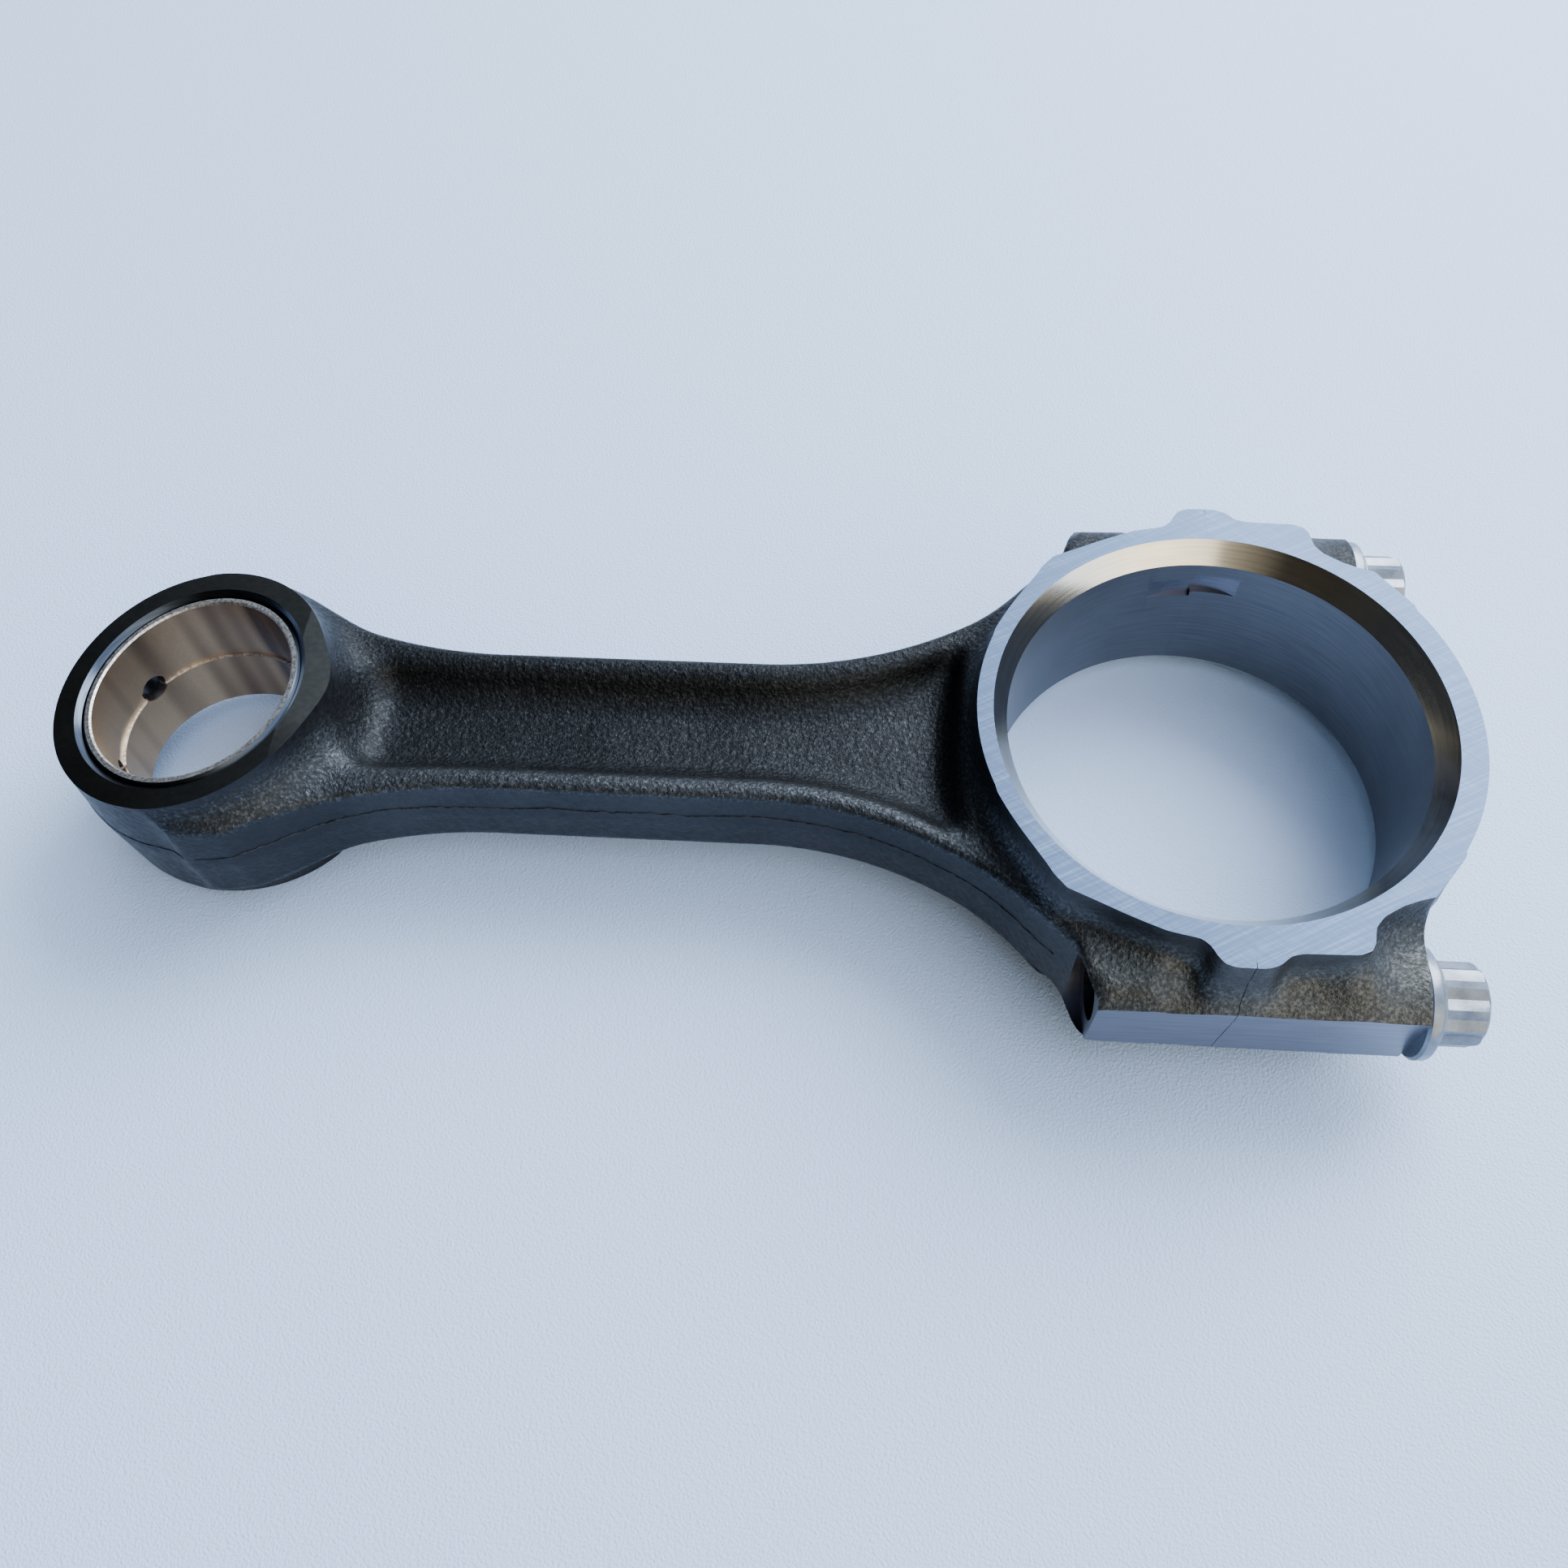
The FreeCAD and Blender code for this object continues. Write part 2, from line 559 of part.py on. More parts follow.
connecting_rod = doc.addObject("Part::Cut", "connecting_rod")
connecting_rod.Base = drilled
connecting_rod.Tool = cap_side

bearing_cap = doc.addObject("Part::Common", "bearing_cap")
bearing_cap.Base = drilled
bearing_cap.Tool = cap_side

small_end_bush = doc.addObject("Part::Cut", "small_end_bush")
small_end_bush.Base = bush
small_end_bush.Tool = oil_drills

pieces = [
    connecting_rod,
    bearing_cap,
    small_end_bush,
    cap_bolt("cap_bolt_near", "-bolt_offset"),
    cap_bolt("cap_bolt_far", "bolt_offset"),
]
doc.recompute()

for item in doc.Objects:
    if {"Invalid", "Error"} & set(item.State):
        raise RuntimeError("%s failed to build: %s" % (item.Label, item.State))
for piece in pieces:
    shape = piece.Shape
    if shape.isNull() or not shape.isValid() or len(shape.Solids) != 1:
        raise RuntimeError("%s is not one valid solid" % piece.Label)

os.makedirs("parts", exist_ok=True)
for piece in pieces:
    piece.Shape.exportStep("parts/%s.step" % piece.Label)
    print("%-16s %9.0f mm3" % (piece.Label, piece.Shape.Volume))
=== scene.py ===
import json
import math

import bmesh
import bpy
import numpy as np
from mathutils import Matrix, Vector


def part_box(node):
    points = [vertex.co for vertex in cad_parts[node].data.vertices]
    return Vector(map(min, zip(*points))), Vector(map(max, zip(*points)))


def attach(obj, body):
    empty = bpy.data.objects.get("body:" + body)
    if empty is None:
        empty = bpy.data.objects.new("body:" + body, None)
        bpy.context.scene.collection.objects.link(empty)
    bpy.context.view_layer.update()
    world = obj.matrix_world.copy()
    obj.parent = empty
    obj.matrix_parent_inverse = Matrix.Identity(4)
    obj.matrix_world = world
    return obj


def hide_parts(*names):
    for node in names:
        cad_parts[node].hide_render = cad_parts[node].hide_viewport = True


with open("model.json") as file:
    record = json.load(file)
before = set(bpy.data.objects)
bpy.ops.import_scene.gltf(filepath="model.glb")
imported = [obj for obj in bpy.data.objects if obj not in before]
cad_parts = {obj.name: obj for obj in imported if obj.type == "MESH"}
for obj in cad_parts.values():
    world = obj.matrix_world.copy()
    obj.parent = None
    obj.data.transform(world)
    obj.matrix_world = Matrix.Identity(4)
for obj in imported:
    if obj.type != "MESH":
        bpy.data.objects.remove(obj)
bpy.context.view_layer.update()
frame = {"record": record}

import openvdb
from mathutils import Vector, noise

# ---------------------------------------------------------------------------
# The drop forging.  Rod and bearing cap begin as one piece of medium-carbon
# steel, squeezed between two dies that part at mid width, trimmed of its
# flash and shot-blasted.  It is worked out here as a field of distances, in
# millimetres, so that every fillet runs into the next as the die's do.
# ---------------------------------------------------------------------------

MILLIMETRE = 0.001
mounts = {mount["name"]: mount for mount in frame["record"]["mounts"]}
crank_radius = mounts["big_end_bore"]["dims"]["r_mm"]
pin_radius = mounts["small_end_bore"]["dims"]["r_mm"]
pin_x = mounts["small_end_bore"]["pos_m"][0] / MILLIMETRE
rod_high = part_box("connecting_rod")[1] / MILLIMETRE
bolt_low, bolt_high = (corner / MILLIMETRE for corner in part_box("cap_bolt_far"))
half_width = rod_high.z
flat_y = rod_high.y
bolt_y = (bolt_low.y + bolt_high.y) / 2

DRAFT = math.tan(math.radians(3.0))
MACHINING_STOCK = 1.6
SHANK_HALF = 16.0
FLANGE_TOP = 9.9
FLANGE_BREADTH = 4.9
FLARE_BIG_X, FLARE_BIG_RADIUS = -85.0, 77.0
FLARE_SMALL_X, FLARE_SMALL_RADIUS = pin_x + 57.0, 95.0
WEB_HALF = 3.7
RECESS_PIN_X, RECESS_CRANK_X = pin_x + 37.0, -46.3
RECESS_WALL_SLOPE, RECESS_END_SLOPE = 0.30, 0.50
SMALL_END_RADIUS, CREST = pin_radius + 6.85, 1.4
RING_ROD, RING_CAP = crank_radius + 5.9, crank_radius + 7.6
BOSS_RADIUS_ROD, BOSS_RADIUS_CAP = 10.15, 10.7
BOSS_ROD_X, BOSS_CAP_X = -23.0, 32.5
RIB_X, RIB_HALF, RIB_TOP_Y, RIB_SLOPE = 0.3, 4.2, bolt_y + 1.3, 3.4
RIB_DRAFT = 0.06
PAD_TIP_Y = bolt_y + 2.8
LOWER_DIE_SHY, LOWER_DIE_RUN = 1.1, 12.0
RAIL = (
    (-40.4, 17.5), (-31.6, 33.3), (-29.4, 35.9), (-26.5, 37.2), (-13.0, 42.8), (-7.5, 43.8),
    (-5.6, 45.2), (-3.6, 47.8), (-2.2, 48.4), (2.3, 48.4), (4.0, 47.6), (6.0, 46.1),
    (17.8, 45.8), (19.8, 45.0), (20.6, 43.6), (21.1, 40.8), (22.6, 38.4), (26.0, 35.9),
    (28.5, 35.1), (31.8, 34.6), (33.4, 32.2), (38.0, 26.5), (0.0, 0.0),
)

# stock left for the cutters, and where one shape gives way to the next, all in
# millimetres as above
SEAT_STOCK, FLAT_STOCK = 1.5, 2.0
SHANK_FROM_CRANK, SHANK_FROM_PIN = 15.0, 4.0
FLARE_BIG_RUN, FLARE_SMALL_RUN = 63.0, 46.0
RECESS_SMALL_SHARE, RECESS_CRANK_SLOPE, SPOON_RUN = 0.35, 0.12, 8.0
CREST_BREADTH = 6.5
THICK_RING_FROM, THICK_RING_TO = 23.0, 34.0
BOSS_SWELL_FROM, BOSS_SWELL_TO = -24.0, 4.0
SEAT_BLEND_FROM, SEAT_BLEND_TO = 12.0, 24.0

# fillets of the die
FLANGE_EDGE, SHANK_END_EDGE, RECESS_EDGE = 1.8, 1.0, 2.6
RECESS_CORNER, WEB_CORNER = 5.0, 6.0
BOSS_END_EDGE, RIB_EDGE, RIB_CREST_EDGE, RIB_BLEND = 1.0, 2.0, 3.0, 3.5
SMALL_END_BLEND, RAIL_BLEND, BIG_END_BLEND = 9.0, 1.5, 7.0
BOSS_BLEND, SEAT_BLEND = 5.0, 6.0


def join(a, b, k):
    """Union of two fields, with a fillet that grows with k."""
    near = np.maximum(k - np.abs(a - b), 0.0) / k
    return np.minimum(a, b) - near * near * k / 4


def meet(a, b, k):
    return -join(-a, -b, k)


def carve(a, b, k):
    return -join(-a, b, k)


def ease(value, low, high):
    t = np.clip((value - low) / (high - low), 0.0, 1.0)
    return t * t * (3 - 2 * t)


def shank_flare(x):
    """How much wider the shank grows towards each end, and how far its side leans."""
    big = np.clip(x - FLARE_BIG_X, 0, FLARE_BIG_RUN)
    small = np.clip(FLARE_SMALL_X - x, 0, FLARE_SMALL_RUN)
    big_rise = FLARE_BIG_RADIUS - np.sqrt(FLARE_BIG_RADIUS ** 2 - big ** 2)
    small_rise = FLARE_SMALL_RADIUS - np.sqrt(FLARE_SMALL_RADIUS ** 2 - small ** 2)
    lean = np.sqrt(1 - np.maximum(big / FLARE_BIG_RADIUS, small / FLARE_SMALL_RADIUS) ** 2)
    return big_rise, small_rise, lean


def outline_distance(x, y, corners):
    """Signed distance from points in plan to a closed outline."""
    nearest = np.full(np.broadcast(x, y).shape, 1e9)
    inside = np.ones(nearest.shape)
    for (ax, ay), (bx, by) in zip(corners, corners[1:] + corners[:1]):
        ex, ey = bx - ax, by - ay
        t = np.clip(((x - ax) * ex + (y - ay) * ey) / (ex * ex + ey * ey), 0, 1)
        nearest = np.minimum(nearest, (x - ax - t * ex) ** 2 + (y - ay - t * ey) ** 2)
        spans = (ay > y) != (by > y)
        crossing = ax + (y - ay) * ex / (ey if ey else 1e-9)
        inside = np.where(spans & (x < crossing), -inside, inside)
    return np.sqrt(nearest) * inside


def forging(x, y, z):
    """Distance outside the forged skin, negative in the metal."""
    side, up = np.abs(y), np.abs(z)
    to_face = half_width - up
    stock = up - half_width - MACHINING_STOCK

    big_rise, small_rise, lean = shank_flare(x)
    breadth = SHANK_HALF + big_rise + small_rise
    shank = meet((side - breadth + up * DRAFT) * lean, up - FLANGE_TOP, FLANGE_EDGE)
    shank_ends = np.maximum(x + SHANK_FROM_CRANK, pin_x + SHANK_FROM_PIN - x)
    shank = meet(shank, shank_ends, SHANK_END_EDGE)
    depth = FLANGE_TOP - up
    pocket = SHANK_HALF + big_rise + RECESS_SMALL_SHARE * small_rise - FLANGE_BREADTH
    spoon = np.maximum(RECESS_PIN_X - x, 0.0)
    end_share = ease(spoon, 0.0, SPOON_RUN)
    slope = RECESS_WALL_SLOPE + (RECESS_END_SLOPE - RECESS_WALL_SLOPE) * end_share
    wall = (np.hypot(spoon, y) - pocket + depth * slope) * lean
    recess = meet(wall, x - RECESS_CRANK_X + depth * RECESS_CRANK_SLOPE, RECESS_CORNER)
    recess = meet(recess, WEB_HALF - up, WEB_CORNER)
    shank = carve(shank, recess, RECESS_EDGE)

    crest = np.where(x > pin_x, CREST * np.exp(-(y / CREST_BREADTH) ** 2), 0.0)
    small_end = np.hypot(x - pin_x, y) - SMALL_END_RADIUS - crest - to_face * DRAFT
    small_end = np.maximum(small_end, stock)
    ring_reach = RING_ROD + (RING_CAP - RING_ROD) * ease(x, THICK_RING_FROM, THICK_RING_TO)
    ring = np.maximum(np.hypot(x, y) - ring_reach - to_face * DRAFT, stock)
    shy = LOWER_DIE_SHY * ease(-z, 0.0, LOWER_DIE_RUN)
    rails = outline_distance(x, side + shy, RAIL) - to_face * DRAFT
    rails = np.maximum(rails, stock)
    swell = ease(x, BOSS_SWELL_FROM, BOSS_SWELL_TO)
    boss_radius = BOSS_RADIUS_ROD + (BOSS_RADIUS_CAP - BOSS_RADIUS_ROD) * swell
    boss = np.hypot(side - bolt_y, z) - boss_radius
    boss_ends = np.maximum(x - BOSS_CAP_X - SEAT_STOCK, BOSS_ROD_X - SEAT_STOCK - x)
    boss = meet(boss, boss_ends, BOSS_END_EDGE)
    rib_sides = np.abs(x - RIB_X) - RIB_HALF - to_face * RIB_DRAFT
    rib = meet(rib_sides, side - flat_y - FLAT_STOCK, RIB_EDGE)
    rib_crest = up + (side + shy - RIB_TOP_Y) * RIB_SLOPE - half_width
    rib = meet(rib, rib_crest / math.hypot(1.0, RIB_SLOPE), RIB_CREST_EDGE)
    boss = join(boss, rib, RIB_BLEND)

    body = join(shank, small_end, SMALL_END_BLEND)
    body = join(body, join(ring, rails, RAIL_BLEND), BIG_END_BLEND)
    return join(body, boss, BOSS_BLEND + SEAT_BLEND * ease(x, SEAT_BLEND_FROM, SEAT_BLEND_TO))


SAMPLED_SPANS = ((-227, 52), (-60, 60), (-23, 23))
SETTLING_PASSES, SETTLING_NUDGE, LEAST_SLOPE = 3, 0.15, 0.25
BLANK_STEP = 0.9


def forged_blank(step):
    """Mesh of the forging: the field is sampled, wrapped, then settled on the exact skin."""
    axes = [np.arange(low, high, step) for low, high in SAMPLED_SPANS]
    x, y, z = axes[0][:, None, None], axes[1][None, :, None], axes[2][None, None, :]
    band = 3 * step
    grid = openvdb.FloatGrid(band)
    grid.copyFromArray(np.clip(forging(x, y, z), -band, band).astype(np.float32))
    points, quads = grid.convertToQuads()
    points = points.astype(float) * step + [axis[0] for axis in axes]
    for _ in range(SETTLING_PASSES):
        slope = np.stack([
            forging(*(points + offset).T) - forging(*(points - offset).T)
            for offset in SETTLING_NUDGE * np.eye(3)
        ], axis=1) / (2 * SETTLING_NUDGE)
        away = forging(*points.T)
        points -= (away / np.maximum((slope ** 2).sum(1), LEAST_SLOPE))[:, None] * slope
    return points, quads


def metal(name, points, faces):
    """Plain mesh object at the origin, from places in millimetres."""
    mesh = bpy.data.meshes.new(name)
    mesh.from_pydata((np.asarray(points) * MILLIMETRE).tolist(), [], [list(f) for f in faces])
    work = bmesh.new()
    work.from_mesh(mesh)
    bmesh.ops.remove_doubles(work, verts=work.verts, dist=1e-7)
    bmesh.ops.recalc_face_normals(work, faces=work.faces)
    work.to_mesh(mesh)
    work.free()
    piece = bpy.data.objects.new(name, mesh)
    bpy.context.scene.collection.objects.link(piece)
    return piece


blank_points, blank_quads = forged_blank(BLANK_STEP)
blank = metal("forged_blank", blank_points, blank_quads)

# ---------------------------------------------------------------------------
# Machining the forging.  Both sides are ground flat, the small end is milled
# to a taper, the bores are bored and chamfered, the bolt holes are drilled
# and spot-faced, and the outsides of the bolt bosses are milled flat.
# ---------------------------------------------------------------------------

TAPER_X = pin_x + 20.8
TAPER_SLOPE = math.tan(math.radians(7.8))
MOUTH_DEPTH, MOUTH_REACH = 4.5, 2.9
SEAT_RADIUS, SEAT_CHAMFER = pin_radius + 2.0, 1.0
OIL_HOLE_RADIUS = 2.5
OIL_HOLE_ANGLES = (math.radians(150), math.radians(210))
THREAD_HOLE_RADIUS, CAP_HOLE_RADIUS = 6.05, 6.4
RELIEF_RADIUS, RELIEF_DEPTH = 10.5, 3.5
CROWN_RADIUS = RING_CAP + half_width * DRAFT + 0.15
TANG_CUTTER_RADIUS, TANG_DEPTH, TANG_WIDTH = 20.0, 1.0, 5.0
TANG_HEIGHTS = {"rod": 8.2, "cap": 9.6}
OIL_HOLE_MOUTH = ((5.5, 27.0), (6.0, 34.0))
SEAT_SIDE_ANGLE = math.radians(12)
BORE_STEPS, BOLT_HOLE_STEPS, OIL_HOLE_STEPS, SPOT_FACE_STEPS = 180, 72, 40, 24
PAST_CROWN, PAST_CAP, PAST_SIDES, PAST_FACES = 40.0, 60.0, 80.0, 25.0
SIDE_CUT, SIDE_CUT_FROM, SIDE_CUT_HALF = 20, -40.0, 15.0


def side_height(x):
    """Height of the machined side face above mid width."""
    return half_width - max(TAPER_X - x, 0.0) * TAPER_SLOPE


def turned(name, profile, centre, along, steps):
    """Solid of revolution: profile of (radius, distance along), open at the axis."""
    along = np.array(along, float) / np.linalg.norm(along)
    across = np.cross(along, (0, 0, 1) if abs(along[2]) < 0.9 else (1, 0, 0))
    across /= np.linalg.norm(across)
    third = np.cross(along, across)
    points, faces = [], []
    for radius, reach in profile:
        for k in range(steps):
            turn = 2 * math.pi * k / steps
            spoke = across * math.cos(turn) + third * math.sin(turn)
            points.append(np.array(centre) + along * reach + spoke * radius)
    for row in range(len(profile) - 1):
        for k in range(steps):
            a, b = row * steps + k, row * steps + (k + 1) % steps
            faces.append((a, b, b + steps, a + steps))
    faces.append(range(steps - 1, -1, -1))
    faces.append(range((len(profile) - 1) * steps, len(profile) * steps))
    return metal(name, points, faces)


def extruded(name, outline, place, lengths):
    """Prism: outline points are put in place by a function of (u, v, w)."""
    count = len(outline)
    points = [place(u, v, w) for w in lengths for u, v in outline]
    faces = [range(count), range(2 * count - 1, count - 1, -1)]
    faces += [(k, (k + 1) % count, (k + 1) % count + count, k + count) for k in range(count)]
    return metal(name, points, faces)


def block(name, low, high):
    outline = ((low[0], low[1]), (high[0], low[1]), (high[0], high[1]), (low[0], high[1]))
    return extruded(name, outline, lambda u, v, w: (u, v, w), (low[2], high[2]))


def settled_mesh(piece):
    """The piece's mesh with its modifiers worked in."""
    depsgraph = bpy.context.evaluated_depsgraph_get()
    return bpy.data.meshes.new_from_object(piece.evaluated_get(depsgraph))


def machine(work, tool, operation="DIFFERENCE"):
    """Cut the work with the tool, in place."""
    cut = work.modifiers.new("cut", "BOOLEAN")
    cut.operation, cut.object, cut.solver = operation, tool, "MANIFOLD"
    shape = settled_mesh(work)
    work.modifiers.clear()
    work.data = shape
    bpy.data.objects.remove(tool)


crown_x = pin_x - PAST_CROWN
envelope = (
    (PAST_CAP, -half_width), (PAST_CAP, half_width), (TAPER_X, half_width),
    (crown_x, side_height(crown_x)), (crown_x, -side_height(crown_x)), (TAPER_X, -half_width),
)
sides = extruded("ground_sides", envelope, lambda u, v, w: (u, w, v), (-PAST_SIDES, PAST_SIDES))
machine(blank, sides, "INTERSECT")

beyond = 3.0
mouth = MOUTH_REACH / MOUTH_DEPTH
crank_bore = turned("crank_bore", (
    (crank_radius + MOUTH_REACH + beyond * mouth, -half_width - beyond),
    (crank_radius, MOUTH_DEPTH - half_width), (crank_radius, half_width - MOUTH_DEPTH),
    (crank_radius + MOUTH_REACH + beyond * mouth, half_width + beyond),
), (0, 0, 0), (0, 0, 1), BORE_STEPS)
machine(blank, crank_bore)

bush_seat = turned("bush_seat", (
    (SEAT_RADIUS + SEAT_CHAMFER + beyond, -half_width - beyond),
    (SEAT_RADIUS, SEAT_CHAMFER - half_width), (SEAT_RADIUS, half_width - SEAT_CHAMFER),
    (SEAT_RADIUS + SEAT_CHAMFER + beyond, half_width + beyond),
), (pin_x, 0, 0), (0, 0, 1), BORE_STEPS)
for vertex in bush_seat.data.vertices:
    drop = half_width - side_height(vertex.co.x / MILLIMETRE)
    vertex.co.z -= math.copysign(drop * MILLIMETRE, vertex.co.z)
machine(blank, bush_seat)

for angle in OIL_HOLE_ANGLES:
    heading = (math.cos(angle), math.sin(angle), 0)
    machine(blank, turned("oil_hole", (
        (OIL_HOLE_RADIUS, 10.0), (OIL_HOLE_RADIUS, 25.5), *OIL_HOLE_MOUTH,
    ), (pin_x, 0, 0), heading, OIL_HOLE_STEPS))

for side in (-bolt_y, bolt_y):
    for radius, low, high in (
        (THREAD_HOLE_RADIUS, BOSS_ROD_X - 1, 0.5), (CAP_HOLE_RADIUS, -0.5, BOSS_CAP_X + 1),
        (RELIEF_RADIUS, BOSS_ROD_X - RELIEF_DEPTH, BOSS_ROD_X),
    ):
        machine(blank, turned("bolt_hole", ((radius, low), (radius, high)),
                              (0, side, 0), (1, 0, 0), BOLT_HOLE_STEPS))
    seat_from = math.acos(BOSS_CAP_X / CROWN_RADIUS)
    spot_face = [(CROWN_RADIUS * math.cos(t), CROWN_RADIUS * math.sin(t))
                 for t in np.linspace(seat_from, SEAT_SIDE_ANGLE, SPOT_FACE_STEPS)]
    spot_face += [(PAST_SIDES, CROWN_RADIUS * math.sin(SEAT_SIDE_ANGLE)),
                  (PAST_SIDES, PAST_SIDES), (BOSS_CAP_X, PAST_SIDES)]
    way = math.copysign(1.0, side)
    machine(blank, extruded("spot_face", [(u, way * v) for u, v in spot_face],
                            lambda u, v, w: (u, v, w), (-PAST_FACES, PAST_FACES)))
    outer = (flat_y, flat_y + SIDE_CUT) if side > 0 else (-flat_y - SIDE_CUT, -flat_y)
    machine(blank, block("side_flat", (SIDE_CUT_FROM, outer[0], -SIDE_CUT_HALF),
                         (PAST_CAP, outer[1], SIDE_CUT_HALF)))

for half, way in (("rod", -1), ("cap", 1)):
    height = TANG_HEIGHTS[half]
    centre_y = crank_radius + TANG_DEPTH - TANG_CUTTER_RADIUS
    notch = [(0.0, centre_y)] + [
        (way * TANG_CUTTER_RADIUS * math.sin(t), centre_y + TANG_CUTTER_RADIUS * math.cos(t))
        for t in np.radians(np.arange(0, 91, 3))
    ]
    machine(blank, extruded(
        half + "_notch", notch, lambda u, v, w: (u, v, w),
        (height - TANG_WIDTH / 2, height + TANG_WIDTH / 2)))


# The crack.  A laser notch starts it and the cap is driven off, so the two
# halves meet in one torn surface that leans and wanders a little.

CRACK_LEAN, CRACK_GAP, CLOSED_SHARE = 0.045, 0.07, 0.1
CRACK_WAVES = ((0.22, 0.13), (0.20, 0.45), (0.10, 1.4))
CRACK_LAYER = 4.7
CRACK_ACROSS, CRACK_UPWARD = (-62, 62.01), (-24, 24.01)
crack_cell = 0.8


def crack_place(y, z):
    """Where the torn surface lies along the rod, in millimetres."""
    spot = Vector((y, z, CRACK_LAYER))
    broad, middle, fine = (height * noise.noise(spot * rate) for height, rate in CRACK_WAVES)
    return CRACK_LEAN * z + (broad + middle) + fine


def cracked_side(shift):
    """Everything on the cap's side of the crack, as a cutting tool."""
    across = np.arange(*CRACK_ACROSS, crack_cell)
    upward = np.arange(*CRACK_UPWARD, crack_cell)
    rows, columns = len(across), len(upward)
    points = []
    for y in across:
        open_here = shift if abs(y) > PAD_TIP_Y else CLOSED_SHARE * shift
        points += [(crack_place(y, z) + open_here, y, z) for z in upward]
    points += [(PAST_SIDES, y, z) for y in across for z in upward]
    faces, back = [], rows * columns
    for r in range(rows - 1):
        for c in range(columns - 1):
            a = r * columns + c
            faces.append((a, a + 1, a + columns + 1, a + columns))
            faces.append((a + back, a + columns + back, a + columns + 1 + back, a + 1 + back))
    rim = list(range(columns - 1))
    rim += [r * columns + columns - 1 for r in range(rows - 1)]
    rim += [(rows - 1) * columns + c for c in range(columns - 1, 0, -1)]
    rim += [r * columns for r in range(rows - 1, 0, -1)]
    for a, b in zip(rim, rim[1:] + rim[:1]):
        faces.append((a, b, b + back, a + back))
    return metal("crack", points, faces)


cap = blank.copy()
cap.data = blank.data.copy()
bpy.context.scene.collection.objects.link(cap)
machine(blank, cracked_side(-CRACK_GAP))
machine(cap, cracked_side(CRACK_GAP), "INTERSECT")
rod = blank
rod.name, cap.name = "rod_forging", "cap_forging"


# The finishes.  Each is one material, and each face takes the finish of the
# tool that made it: die skin, grinding wheel, boring bar, cutter or drill.

def finish(name, metallic=1.0):
    """New material with its surface shader; returns both and the node tree."""
    material = bpy.data.materials.new(name)
    material.use_nodes = True
    tree = material.node_tree
    shader = tree.nodes["Principled BSDF"]
    shader.inputs["Metallic"].default_value = metallic
    return material, tree, shader


def node(tree, kind, settings=None, **inputs):
    """Node with its options and inputs; an input may be a value or a socket."""
    made = tree.nodes.new(kind)
    for name, value in (settings or {}).items():
        setattr(made, name, value)
    for name, value in inputs.items():
        key = int(name[1:]) if name[0] == "_" else name.replace("_", " ")
        socket = made.inputs[key]
        if isinstance(value, bpy.types.NodeSocket):
            tree.links.new(value, socket)
        else:
            socket.default_value = value
    return made


def maths(tree, operation, a, b, c=0.5):
    """Output of a Math node."""
    return node(tree, "ShaderNodeMath", {"operation": operation}, _0=a, _1=b, _2=c).outputs[0]


def object_place(tree, scale=(1, 1, 1), turn=(0, 0, 0), move=(0, 0, 0)):
    """Object coordinates, turned and then stretched."""
    place = node(tree, "ShaderNodeTexCoord").outputs["Object"]
    turned_place = node(tree, "ShaderNodeMapping", {"vector_type": "POINT"}, Vector=place,
                        Rotation=turn, Location=move).outputs[0]
    return node(tree, "ShaderNodeMapping", {"vector_type": "POINT"}, Vector=turned_place,
                Scale=scale).outputs[0]


def remap(tree, value, low, high, to_low=0.0, to_high=1.0):
    """Value carried from low..high to to_low..to_high, and held at the ends."""
    return node(tree, "ShaderNodeMapRange", Value=value, From_Min=low, From_Max=high,
                To_Min=to_low, To_Max=to_high).outputs[0]


def grey(tree, value):
    return node(tree, "ShaderNodeCombineXYZ", X=value, Y=value, Z=value).outputs[0]


def grain(tree, where, scale, detail=3.0, roughness=0.55):
    return node(tree, "ShaderNodeTexNoise", Vector=where, Scale=scale, Detail=detail,
                Roughness=roughness).outputs["Fac"]


def ramp(tree, value, *stops):
    """Colour ramp of (position, colour) stops; a single number makes a grey."""
    made = node(tree, "ShaderNodeValToRGB", Fac=value)
    made.color_ramp.elements.remove(made.color_ramp.elements[1])
    for k, (position, colour) in enumerate(stops):
        element = made.color_ramp.elements[0] if k == 0 else made.color_ramp.elements.new(position)
        element.position = position
        colour = (colour,) * 3 if isinstance(colour, float) else colour
        element.color = (*colour, 1.0)
    return made.outputs["Color"]


def relief(tree, shader, value, depth, strength=1.0, under=None):
    """Bump from a height between 0 and 1, depth in metres."""
    made = node(tree, "ShaderNodeBump", Height=value, Distance=depth, Strength=strength)
    if under is not None:
        tree.links.new(under, made.inputs["Normal"])
    tree.links.new(made.outputs[0], shader.inputs["Normal"])
    return made.outputs[0]


def mixed(tree, kind, fac, a, b):
    made = node(tree, "ShaderNodeMix", {"data_type": "RGBA", "blend_type": kind}, _0=fac)
    for socket, value in ((made.inputs[6], a), (made.inputs[7], b)):
        if isinstance(value, bpy.types.NodeSocket):
            tree.links.new(value, socket)
        else:
            socket.default_value = (*value, 1.0)
    return made.outputs[2]


